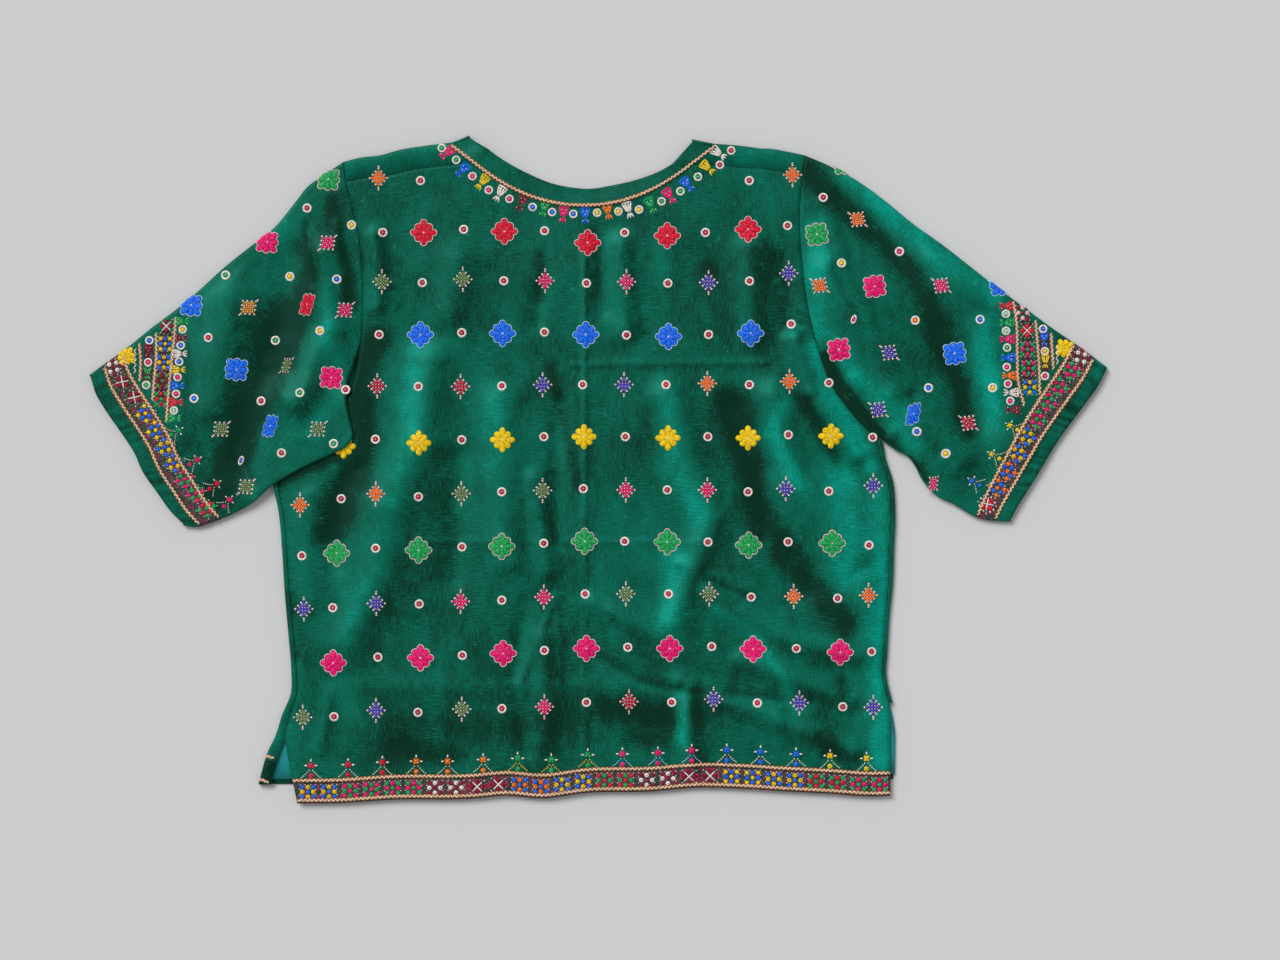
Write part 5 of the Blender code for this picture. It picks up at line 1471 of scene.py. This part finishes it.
def flower(outlined=True):
    """Eight satin-stitched petals: rings inside the petals' edge, with a valley between
    the petals painted darker as shade, a pale cord along the edge and a knot at the centre."""
    turn = 2 * math.pi * np.arange(48) / 48
    share = np.array([1.0, 0.95, 0.82, 0.6, 0.36, 0.12])[:, None]
    edge = petal_edge(turn)[None]
    between = 1 - np.abs(np.cos(4 * turn))[None] ** 0.5
    x, y = share * edge * np.cos(turn), share * edge * np.sin(turn)
    z = SUNK + (1.0 - SUNK) * (1 - share**6) ** 0.5 - 0.45 * between * share
    points = np.stack([x, y, z], axis=2).reshape(-1, 3)
    # painted shade: the valley's points between the petals take the darker colour
    dark = (between > 0.7) & (share > 0.2) & (share < 0.97)
    shades = np.where(dark, 1, 0).reshape(-1)
    stitch = np.stack([share * edge, np.broadcast_to(turn * 6.0, x.shape)], axis=2).reshape(-1, 2)
    body = Shape(points, ring_faces(6, 48), shades, stitch)
    parts = [body, dome(1.05, 1.4, 3)]
    if outlined:
        rim = np.stack([(edge[0] + 0.35) * np.cos(turn), (edge[0] + 0.35) * np.sin(turn)], axis=1)
        parts.append(cord(rim, 0.4, 0.75, 2, closed=True))
    return together(*parts)


def eyelet(outer, inner, around=16):
    """A stitched ring round a raised dot, with a small pale dome on it: a painted highlight."""
    middle, half = (outer + inner) / 2, (outer - inner) / 2
    band = cord(circle(middle, around), half, 0.75, 0, closed=True)
    # the small pale dome on top is a painted highlight
    return together(band, dome(inner, 0.75, 1, around=10), dome(inner * 0.3, 1.05, 2, around=5))


def lozenge():
    """A diamond of small dots on a lattice over a dark ground. Its dots are coloured, the ones
    between them at the middle are pale, and along the rim and off the long tips stand separate
    pale dots."""
    i, j = (grid.reshape(-1) for grid in np.meshgrid(np.arange(-6, 7), np.arange(-6, 7)))
    far = np.abs(i) + np.abs(j)
    parts = [dome(5.4, 0.2, 2, around=4)]
    for column, row, reach in zip(i, j, far):
        place = (column * 1.15, row * 1.28)
        if column % 2 == 0 and row % 2 == 0 and reach <= 6:
            rim = reach == 6
            parts.append(dome(1.05 if rim else 1.4, 0.9, int(rim), around=6, wide=0.95).at(*place))
        elif column % 2 == 1 and row % 2 == 1 and reach in (2, 4):
            parts.append(dome(0.7, 1.1, 1, around=5).at(*place))
    parts += [dome(0.9, 0.85, 1, around=6).at(0.0, 9.3 * end) for end in (-1, 1)]
    return together(*parts)


# Where pale specks stand round a block of the border.
SPECKS = ((2.3, 5.7), (6.4, 2.1), (6.2, 5.9))


def corners(points):
    """The same places in all four quarters."""
    return [(x * a, y * b) for x, y in points for a in (-1, 1) for b in (-1, 1)]


def floret():
    """A dot with four ringed dots at its sides and four plain ones at the corners, and pale
    specks round them."""
    parts = [dome(1.8, 0.7, 1)]
    for x, y in ((4.4, 0.0), (-4.4, 0.0), (0.0, 3.9), (0.0, -3.9)):
        parts.append(together(dome(2.05, 0.8, 0), dome(0.85, 0.95, 3, around=5)).at(x, y))
    parts += [dome(1.95, 0.7, 1).at(x, y) for x, y in corners([(4.5, 3.9)])]
    parts += [dome(0.62, 0.9, 2, around=5).at(x, y) for x, y in corners(SPECKS)]
    return together(*parts)


def crossed():
    """Four large dots with a pale cross between them, and dots and specks at the corners."""
    parts = []
    for x, y in ((4.0, 0.0), (-4.0, 0.0), (0.0, 3.8), (0.0, -3.8)):
        parts.append(together(dome(2.3, 0.8, 0), dome(0.8, 0.95, 3, around=5)).at(x, y))
    parts += [dome(0.95, 0.8, 1, around=6).at(x, y) for x, y in corners([(6.6, 1.6), (2.6, 5.6)])]
    parts += [dome(0.7, 0.9, 2, around=5).at(x, y) for x, y in corners([(5.6, 4.9)])]
    for turn in (math.pi / 4, -math.pi / 4):
        end = 6.0 * np.array([math.cos(turn), math.sin(turn)])
        parts.append(cord(np.linspace(-end, end, 7), 0.6, 0.95, 2))
    return together(*parts)


def star():
    """A dot with a dark centre and short petals, and pale stitches standing off it."""
    parts = [dome(2.1, 0.9, 0), dome(0.8, 1.1, 1, around=5)]
    for k in range(4):
        turn = math.pi / 4 + k * math.pi / 2
        parts.append(dome(1.0, 0.75, 0, around=6).at(2.0 * math.cos(turn), 2.0 * math.sin(turn)))
    for turn in (0.0, math.pi / 2, math.pi):
        way = np.array([math.cos(turn), math.sin(turn)])
        parts.append(cord(np.linspace(2.7 * way, 5.4 * way, 4), 0.75, 0.85, 2))
    return together(*parts)


def tent():
    """A stepped motif over the border: a dot under a tent of pale dashes, and short strokes
    fanned out between them."""
    parts = [dome(2.25, 0.9, 0).at(0.0, 1.8), dome(0.8, 1.1, 1, around=5).at(0.0, 1.8)]
    for lean in (-0.75, 0.0, 0.75):
        way = np.array([math.sin(lean), math.cos(lean)])
        parts.append(cord(np.linspace(3.4 * way, 5.2 * way, 3) + (0.0, 0.6), 0.45, 0.6, 3))
    for side in (-1, 1):
        foot, peak = np.array([8.0 * side, 0.2]), np.array([0.7 * side, 7.2])
        for k in range(5):
            start = foot + (peak - foot) * (k + 0.1) / 5
            stop = foot + (peak - foot) * (k + 0.8) / 5
            bulge = np.array([0.0, -0.5 * math.sin(math.pi * (k + 0.5) / 5)])
            parts.append(cord(np.linspace(start, stop, 4) + bulge, 0.6, 0.8, 2))
    return together(*parts)


def pendant():
    """A stitched drop: strokes that narrow from a wide top to a waist, three short strokes
    fanned out below it, and pale specks between them."""
    parts = []
    for top, waist in ((-3.9, -1.1), (-1.4, -0.4), (1.4, 0.4), (3.9, 1.1)):
        parts.append(cord(np.linspace((top, 6.6), (waist, -1.6), 5), 0.85, 0.75, 0))
    parts.append(cord(np.linspace((-4.2, 6.4), (4.2, 6.4), 5), 0.8, 0.7, 0))
    for foot in (-2.8, 0.0, 2.8):
        parts.append(cord(np.linspace((foot * 0.2, -1.9), (foot, -6.6), 4), 0.75, 0.75, 0))
    specks = ((-1.7, 3.6), (1.7, 3.6), (0.0, 1.2), (-2.2, -4.2), (2.2, -4.2))
    parts += [dome(0.6, 1.0, 1, around=5).at(x, y) for x, y in specks]
    return together(*parts)


def zigzag(line, pitch, swing):
    """A smooth line swung from side to side once in each pitch."""
    steps = np.linalg.norm(np.diff(line, axis=0), axis=1)
    length = np.concatenate([[0.0], np.cumsum(steps)])
    count = int(length[-1] / pitch * 8) + 1
    place = np.linspace(0, length[-1], count)
    path = np.stack([np.interp(place, length, line[:, k]) for k in (0, 1)], axis=1)
    slope = np.gradient(path, axis=0)
    slope /= np.linalg.norm(slope, axis=1)[:, None]
    side = np.stack([-slope[:, 1], slope[:, 0]], axis=1)
    wave = 2 * np.abs(2 * ((place / pitch) % 1.0) - 1) - 1
    return path + side * (swing * wave)[:, None]


class Stitching:
    """Shapes gathered into one piece and let down onto the cloth that they are sewn to. Where
    a fold line is given, what reaches past it is carried down round the folded edge."""

    def __init__(self, height, fold=None, handed=1.0):
        self.height = height
        self.fold, self.handed = fold, handed
        self.points, self.faces, self.colours, self.stitch = [], {}, [], []
        self.count = 0

    def round_fold(self, x, y, up, z):
        """Points past the line where the folded edge starts to curve go round its half
        circle: the way that they reach past it becomes an angle."""
        shape = x.shape
        x, y, up, z = (value.reshape(-1) for value in (x, y, up, z))
        a, b = self.fold[:-1], self.fold[1:]
        along_x, along_y = (b - a)[:, 0], (b - a)[:, 1]
        share = (x[:, None] - a[:, 0]) * along_x + (y[:, None] - a[:, 1]) * along_y
        share = np.clip(share / (along_x**2 + along_y**2), 0, 1)
        away = np.hypot(
            x[:, None] - a[:, 0] - share * along_x, y[:, None] - a[:, 1] - share * along_y
        )
        near = away.argmin(axis=1)
        pick = np.arange(len(x))
        foot = a[near] + (b - a)[near] * share[pick, near][:, None]
        out = -outward(self.fold)[near] * self.handed
        past = ((x - foot[:, 0]) * out[:, 0] + (y - foot[:, 1]) * out[:, 1]) + FOLD_RADIUS
        angle = np.maximum(past, 0) / FOLD_RADIUS
        angle = np.where(angle > 1.2, 1.2 + 0.45 * (1 - np.exp(-(angle - 1.2) / 1.2)), angle)
        reach = (FOLD_RADIUS + up) * np.sin(angle) - FOLD_RADIUS
        turned = past > 0
        x = np.where(turned, foot[:, 0] + out[:, 0] * reach, x)
        y = np.where(turned, foot[:, 1] + out[:, 1] * reach, y)
        z = np.where(turned, EDGE_HEIGHT - FOLD_RADIUS + (FOLD_RADIUS + up) * np.cos(angle), z)
        return x.reshape(shape), y.reshape(shape), z.reshape(shape)

    def lay(self, shape, places, palette, turns=0.0, scale=1.0, narrow=1.0):
        """Copies of a shape at places, each turned, scaled, coloured from a palette and, where
        the cloth tilts, narrowed from left to right with its upper end leaning right."""
        places = np.atleast_2d(np.array(places, float))
        copies, size = len(places), len(shape.points)
        turns = np.broadcast_to(turns, copies)[:, None]
        px, py, up = (shape.points[None, :, k] for k in range(3))
        px, py = px * scale, py * scale
        tall = px * np.sin(turns) + py * np.cos(turns)
        x = places[:, :1] + narrow * (px * np.cos(turns) - py * np.sin(turns))
        x = x + 0.6 * (1 - narrow) * tall
        y = places[:, 1:] + tall
        up = np.broadcast_to(up, x.shape)
        z = self.height(x, y) + up
        if self.fold is not None:
            x, y, z = self.round_fold(x, y, up, z)
        self.points.append(np.stack([x, y, z], axis=2).reshape(-1, 3))
        starts = self.count + size * np.arange(copies)
        for part in shape.faces:
            laid = (part[None] + starts[:, None, None]).reshape(-1, part.shape[1])
            self.faces.setdefault(part.shape[1], []).append(laid)
        palette = np.array([hue(name) for name in palette])
        self.colours.append(np.tile(palette[shape.shades], (copies, 1)))
        self.stitch.append(np.tile(shape.stitch, (copies, 1)))
        self.count += copies * size

    def trim(self, line):
        """Zigzag braid along a line: a flat copper strip under a pale swung cord."""
        line = along(line, np.linspace(0, 1, 40))
        self.lay(cord(line, 1.6, 0.4), (0, 0), ("copper",))
        self.lay(cord(zigzag(line, ZIGZAG, 0.8), 0.62, 0.75, lift=0.3), (0, 0), ("pale_gold",))

    def made(self, name, thread, slot):
        faces = [np.concatenate(parts) for parts in self.faces.values()]
        values = {"thread": np.concatenate(self.colours)}
        grain = np.concatenate(self.stitch)
        piece = make_mesh(name, np.concatenate(self.points), faces, thread, values, grain)
        return piece


DEEPER = {  # the darker colour painted as shade in the valleys between a flower's petals, and the colour of the dark ground under a lozenge's dots
    "crimson": "maroon", "blue": "deep_blue", "yellow": "gold", "green": "deep_green",
    "pink": "deep_pink", "orange": "rust", "violet": "deep_violet", "leaf": "dark",
    "red": "maroon",
}


def sew_motifs(stitching, motifs, turn=0.0):
    """Lays a table of motifs, each kind in its own shape and palette."""
    for kind, colour, places in motifs:
        narrow = 0.6 if kind.startswith("narrow_") else 1.0
        kind = kind.removeprefix("narrow_")
        if kind == "flower":
            edge = "pale_blue" if colour == "blue" else "blush"
            shape = flower(outlined=colour != "yellow")
            # the darker colour painted as shade in the petals' valleys
            valley_shade = DEEPER[colour]
            palette = (colour, valley_shade, edge, "white")
            stitching.lay(shape, places, palette, turn, narrow=narrow)
        elif kind == "cluster":
            body = {"white": "leaf", "crimson": "red"}.get(colour, colour)
            stitching.lay(
                lozenge(), places, (body, "blush", DEEPER.get(body, "dark")), turn, narrow=narrow
            )
        else:
            # an eyelet's third colour is its painted highlight
            stitching.lay(
                eyelet(3.85, 2.1), places, ("white", colour, "cream"), turn, narrow=narrow
            )


HEM_BLOCKS = (
    # shape, first colour, second colour, specks, centres, for two florets each
    ("floret", "yellow", "blue", "white", "maroon"), ("floret", "green", "pink", "white", "dark"),
    ("floret", "pink", "green", "white", "crimson"),
    ("floret", "white", "maroon", "white", "maroon"),
    ("crossed", "maroon", "pink", "white", "maroon"),
    ("floret", "orange", "blue", "white", "dark"), ("floret", "yellow", "blue", "white", "maroon"),
    ("floret", "green", "crimson", "white", "dark"),
    ("floret", "white", "maroon", "white", "maroon"),
    ("crossed", "maroon", "pink", "white", "maroon"),
    ("floret", "blue", "yellow", "white", "dark"), ("floret", "yellow", "blue", "white", "maroon"),
    ("floret", "crimson", "green", "white", "dark"),
    ("floret", "pink", "green", "white", "crimson"),
)
STAR_RISE = 10.2  # how far a tent's star stands over the braid
TENTS = (
    # x, colour of the ring and star
    (-229.4, "crimson"), (-199.8, "crimson"), (-172.4, "crimson"), (-145.5, "orange"),
    (-120.4, "orange"), (-91.9, "orange"), (-64.4, "green"), (-37.6, "green"), (-8.4, "green"),
    (19.2, "pink"), (47.6, "pink"), (74.5, "pink"), (102.5, "blue"), (129.5, "blue"),
    (157.7, "blue"), (184.9, "yellow"), (214.0, "yellow"),
)


TENT_STROKES = {
    # star's colour: the strokes and the dashes of its tent
    "green": ("gold", "yellow"),
    "pink": ("blue", "pale_blue"),
    "blue": ("pink", "white"),
    "yellow": ("green", "white"),
}


def sew_hem(stitching, upper_line):
    """The back's border: florets two by two along it, and stepped motifs standing on it."""
    shapes = {"floret": floret(), "crossed": crossed()}
    left, right = BACK_VENTS[0][1], BACK_VENTS[0][3]
    count = 2 * len(HEM_BLOCKS)
    x = left + (right - left) * (np.arange(count) + 0.5) / count
    y = back_hem(x)[:, 1] + BORDER_HEIGHT / 2
    for k, (kind, first, second, specks, centres) in enumerate(HEM_BLOCKS):
        places = np.stack([x, y], axis=1)[2 * k : 2 * k + 2]
        stitching.lay(shapes[kind], places, (first, second, specks, centres))
    stand = np.interp([x for x, _ in TENTS], upper_line[:, 0], upper_line[:, 1]) + BRAID_WIDTH / 2
    for (x, colour), y in zip(TENTS, stand):
        strokes, dashes = TENT_STROKES.get(colour, ("maroon", "white"))
        stitching.lay(tent(), (x, y), (colour, "dark", dashes, strokes))
        stitching.lay(star(), (x, y + STAR_RISE), (colour, "dark", "white"))


CUFF_LEFT = (
    # shape, first colour, second colour, specks, centres, then x and y of each
    ("floret", "white", "maroon", "white", "maroon", ((-387.2, 82.0),)),
    ("crossed", "maroon", "green", "white", "red", ((-380.0, 70.3), (-370.6, 58.0))),
    ("floret", "blue", "yellow", "cream", "deep_blue", ((-361.6, 45.2), (-353.4, 31.8))),
    ("floret", "yellow", "blue", "white", "maroon", ((-346.0, 18.2), (-338.8, 5.4))),
    ("floret", "green", "pink", "white", "deep_green", ((-330.2, -7.2), (-321.2, -18.6))),
    ("floret", "crimson", "green", "white", "maroon", ((-312.6, -30.6),)),
)
CUFF_RIGHT = (
    ("floret", "white", "maroon", "white", "maroon", ((385.4, 90.0),)),
    ("floret", "pink", "green", "white", "maroon", ((377.6, 79.0), (367.4, 66.4))),
    ("floret", "green", "pink", "white", "deep_green", ((358.8, 54.2),)),
    ("floret", "pink", "green", "white", "maroon", ((350.0, 40.6),)),
    ("floret", "yellow", "blue", "white", "maroon", ((341.8, 26.8), (334.4, 13.0))),
    ("floret", "blue", "orange", "white", "deep_blue", ((326.6, -1.0), (318.4, -14.2))),
    ("crossed", "crimson", "white", "white", "maroon", ((310.4, -27.2),)),
)
MARGIN_BRAIDS = (
    ((-266.4, -228.0), (-262.8, -229.0), (-259.0, -230.4)),
    ((-270.8, -246.6), (-267.0, -248.0), (-263.2, -249.8)),
)
# The stitched panels inside each cuff border: lines of braid, and what stands between them.
PANEL_LEFT_LINES = (
    ((-337.5, 122.0), (-338.6, 104.0), (-341.0, 80.0), (-343.6, 54.0), (-344.8, 38.0)),
    ((-353.0, 109.6), (-352.8, 92.0), (-354.6, 72.0), (-356.0, 55.0)),
    ((-366.4, 101.0), (-365.4, 86.0), (-366.2, 70.6)),
)
PANEL_RIGHT_LINES = (
    ((331.2, 134.4), (333.6, 120.0), (334.4, 92.0), (335.2, 70.0), (340.0, 51.0)),
    ((349.0, 119.6), (350.6, 100.0), (352.0, 80.0), (352.4, 60.0)),
    ((361.4, 109.4), (362.2, 96.0), (363.4, 80.0)),
)
PANEL_LEFT = (
    ("crossed", "maroon", "green", "white", "red", ((-344.9, 114.8),)),
    ("floret", "blue", "yellow", "cream", "deep_blue", ((-345.6, 100.6),)),
    ("floret", "yellow", "blue", "white", "maroon", ((-346.6, 85.8),)),
    ("floret", "maroon", "leaf", "blush", "red", ((-347.9, 71.2),)),
    ("floret", "crimson", "green", "blush", "maroon", ((-348.8, 56.6),)),
)
PANEL_RIGHT = (
    ("floret", "blush", "maroon", "white", "maroon", ((338.8, 125.4),)),
    ("crossed", "crimson", "green", "blush", "maroon", ((342.2, 111.2),)),
    ("floret", "pink", "green", "white", "maroon", ((342.6, 96.2),)),
    ("floret", "green", "pink", "white", "deep_green", ((343.6, 81.0),)),
    ("floret", "yellow", "blue", "white", "maroon", ((344.4, 66.0),)),
)
PANEL_LEFT_MOTIFS = (
    # shape, colour, x, y
    ("ring", "blue", -358.4, 103.4), ("pendant", "maroon", -359.0, 94.8),
    ("ring", "pink", -359.4, 86.0), ("pendant", "green", -359.9, 77.2),
    ("ring", "green", -361.0, 67.8),
)
PANEL_RIGHT_MOTIFS = (
    ("ring", "blue", 355.0, 112.6), ("pendant", "blue", 356.0, 104.0),
    ("ring", "yellow", 356.4, 94.8), ("pendant", "yellow", 356.8, 86.4),
    ("ring", "pink", 356.6, 75.0),
)
PANEL_HALVES = (6.6, 5.6)  # half the width of the ground between the panels' lines
PANEL_FLOWERS = {"left": (-377.0, 90.6), "right": (372.4, 97.0)}
PANEL_ZIGZAGS = {
    "left": ((-369.6, 97.0), (-369.8, 87.0), (-370.2, 77.0)),
    "right": ((366.4, 100.0), (366.0, 92.0), (366.6, 84.0)),
}
COLUMN_LEFT = (
    # shape, colour, x, y, down the inner side of the panels
    ("pendant", "green", -332.2, 118.8), ("ring", "yellow", -331.8, 112.2),
    ("pendant", "maroon", -333.4, 105.4), ("ring", "blue", -333.2, 99.4),
    ("pendant", "white", -333.8, 92.8), ("ring", "blue", -334.4, 86.4),
    ("pendant", "yellow", -335.0, 80.0), ("ring", "pink", -335.6, 74.0),
    ("pendant", "blue", -335.6, 67.2), ("ring", "pink", -336.8, 60.6),
    ("pendant", "crimson", -337.0, 54.0), ("ring", "pale_green", -338.6, 47.4),
    ("pendant", "green", -338.2, 41.2),
)
COLUMN_RIGHT = (
    ("pendant", "crimson", 325.8, 131.0), ("ring", "pale_green", 325.4, 124.6),
    ("pendant", "green", 325.6, 117.6), ("ring", "pale_green", 325.4, 111.0),
    ("pendant", "pink", 326.0, 104.4), ("ring", "green", 326.2, 97.6),
    ("pendant", "blue", 326.4, 89.6), ("ring", "pink", 325.8, 82.0),
    ("pendant", "orange", 327.6, 75.2), ("ring", "pink", 326.6, 68.6),
    ("pendant", "white", 329.0, 61.8), ("ring", "pink", 328.6, 55.0),
    ("pendant", "maroon", 330.4, 47.8),
)
# Stepped motifs on the cuff border's inner edge: where each stands, its turn and its colour.
STEPS_LEFT = (
    # x, y, turn in degrees, colour
    (-342.0, 27.0, -58.0, "green"), (-327.6, 3.6, -58.0, "pink"),
    (-311.6, -16.0, -54.0, "crimson"), (-300.0, -30.4, -40.0, "pink"),
)
STEPS_RIGHT = (
    (335.6, 31.2, 60.0, "yellow"), (321.4, 8.2, 60.0, "yellow"), (305.6, -13.2, 58.0, "blue"),
)


def sew_cuff(stitching, side):
    """A cuff's border, the panels above it, and the column of rings and pendants inside."""
    left = side == "left"
    shapes = {"floret": floret(), "crossed": crossed()}
    lean = math.radians(57.0 if left else -56.0)
    for kind, first, second, specks, centres, places in CUFF_LEFT if left else CUFF_RIGHT:
        stitching.lay(shapes[kind], places, (first, second, specks, centres), lean + math.pi)
    lines = PANEL_LEFT_LINES if left else PANEL_RIGHT_LINES
    share = np.linspace(0, 1, 24)
    for near, far, half in zip(lines[:-1], lines[1:], PANEL_HALVES):
        middle = (along(near, share * 0.84) + along(far, share)) / 2
        stitching.lay(cord(middle, half, 0.12), (0, 0), ("ground",))
    for kind, first, second, specks, centres, places in PANEL_LEFT if left else PANEL_RIGHT:
        stitching.lay(shapes[kind], places, (first, second, specks, centres), math.pi / 2, 0.93)
    sew_row(stitching, PANEL_LEFT_MOTIFS if left else PANEL_RIGHT_MOTIFS, 0.0, 0.82)
    stitching.lay(
        flower(False), PANEL_FLOWERS[side], ("yellow", "gold", "cream", "gold"), lean, 0.86
    )
    stitching.lay(
        cord(zigzag(along(PANEL_ZIGZAGS[side], np.linspace(0, 1, 20)), 4.4, 0.9), 0.45, 0.7),
        (0, 0), ("white",),
    )
    for line in lines:
        stitching.trim(line)
    sew_row(
        stitching, COLUMN_LEFT if left else COLUMN_RIGHT, math.pi / 2 if left else -math.pi / 2,
        0.92,
    )
    for x, y, turn, colour in STEPS_LEFT if left else STEPS_RIGHT:
        turn = math.radians(turn)
        stitching.lay(tent(), (x, y), (colour, "dark", "white", "maroon"), turn, 0.85)
        above = (x - STAR_RISE * 0.85 * math.sin(turn), y + STAR_RISE * 0.85 * math.cos(turn))
        stitching.lay(star(), above, (colour, "dark", "white"), turn, 0.85)


def sew_row(stitching, motifs, turn=None, scale=1.0):
    """Rings and pendants in a row. With no turn given, each points away from the neck."""
    centre = np.array([NECK_CENTRE_X, NECK_CENTRE_Y])
    for kind, colour, x, y in motifs:
        away = turn
        if turn is None:
            away = math.atan2(x - centre[0], centre[1] - y)
        if kind == "ring":
            # an eyelet's third colour is its painted highlight
            stitching.lay(eyelet(3.6, 2.0, 14), (x, y), ("white", colour, "white"), away)
        else:
            stitching.lay(pendant(), (x, y), (colour, "white"), away, scale)


def sew_margin(stitching):
    """The ends of the front's braid, on the margin that is turned up at the left vent."""
    for line in MARGIN_BRAIDS:
        stitching.trim(line)


def sew_braids(thread, ribbons, lines):
    """The pale zigzag cord on every strip of braid."""
    stitching = Stitching(ClothHeight(ribbons))
    for line in lines:
        stitching.lay(cord(zigzag(line[:, :2], ZIGZAG, 0.85), 0.66, 0.75), (0, 0), ("pale_gold",))
    return stitching.made("braid_zigzag", thread, "gold_braid")


def set_stage():
    """The floor, one soft light with pale surroundings, and the camera, which looks straight
    down on the place
    that was at the middle of the photograph."""
    half = 3.0
    floor = bpy.data.meshes.new("floor")
    corners = [
        (-half, -half, FLOOR_Z), (half, -half, FLOOR_Z),
        (half, half, FLOOR_Z), (-half, half, FLOOR_Z),
    ]
    floor.from_pydata(corners, [], [(0, 1, 2, 3)])
    floor.materials.append(floor_finish())
    made = bpy.data.objects.new("floor", floor)
    bpy.context.scene.collection.objects.link(made)
    lamp = bpy.data.lights.new("window", "SUN")
    lamp.energy = SUN_POWER
    lamp.angle = math.radians(SUN_SPREAD)
    light = bpy.data.objects.new("window", lamp)
    light.rotation_euler = (0.0, math.radians(90.0 - SUN_HEIGHT), math.radians(SUN_FROM))
    bpy.context.scene.collection.objects.link(light)
    world = bpy.data.worlds.new("studio")
    world.use_nodes = True
    world.node_tree.nodes["Background"].inputs["Color"].default_value = (1.0, 1.0, 1.0, 1.0)
    world.node_tree.nodes["Background"].inputs["Strength"].default_value = WORLD_LIGHT
    bpy.context.scene.world = world
    lens = bpy.data.cameras.new("camera")
    lens.lens = LENS
    lens.sensor_width = SENSOR
    lens.clip_end = 20.0
    camera = bpy.data.objects.new("camera", lens)
    camera.location = (VIEW_CENTRE[0], VIEW_CENTRE[1], VIEW_WIDTH * LENS / SENSOR)
    bpy.context.scene.collection.objects.link(camera)
    bpy.context.scene.camera = camera
    bpy.context.scene.view_settings.view_transform = "Standard"


def main():
    silk, border, gold, lining = silk_finish(), border_finish(), braid_finish(), lining_finish()
    thread = thread_finish()
    back, back_lines, ribbons = build_back(silk, border, gold)
    shoulders, margin = build_front(silk, lining)
    neck, neck_ribbon = build_neck(silk, gold)
    ribbons.append(neck_ribbon)

    body = Stitching(ClothHeight([*back, *shoulders, neck]))
    sew_motifs(body, BODY_MOTIFS)
    sew_row(body, NECK_MOTIFS)
    sew_hem(body, back_lines[0])
    body.made("body_embroidery", thread, "mirror_border")
    for side, motifs, edge in (
        ("left", LEFT_SLEEVE_MOTIFS, SLEEVE_LEFT_TOP),
        ("right", RIGHT_SLEEVE_MOTIFS, SLEEVE_RIGHT_TOP),
    ):
        tops, sleeve_ribbons = build_sleeve(side, silk, border, gold)
        ribbons += sleeve_ribbons
        fold = along(edge, np.linspace(0, 1, SLEEVE_ROWS))
        sleeve = Stitching(ClothHeight(tops), fold, -1.0 if side == "left" else 1.0)
        sew_motifs(sleeve, motifs, math.radians(SLEEVE_TURN[side]))
        sew_cuff(sleeve, side)
        sleeve.made(f"sleeve_embroidery_{side}", thread, "mirror_border")
    side = Stitching(ClothHeight(margin))
    sew_margin(side)
    side.made("margin_braid", thread, "gold_braid")
    sew_braids(thread, ribbons, [ribbon.mean(axis=0) for ribbon in ribbons])
    set_stage()


main()
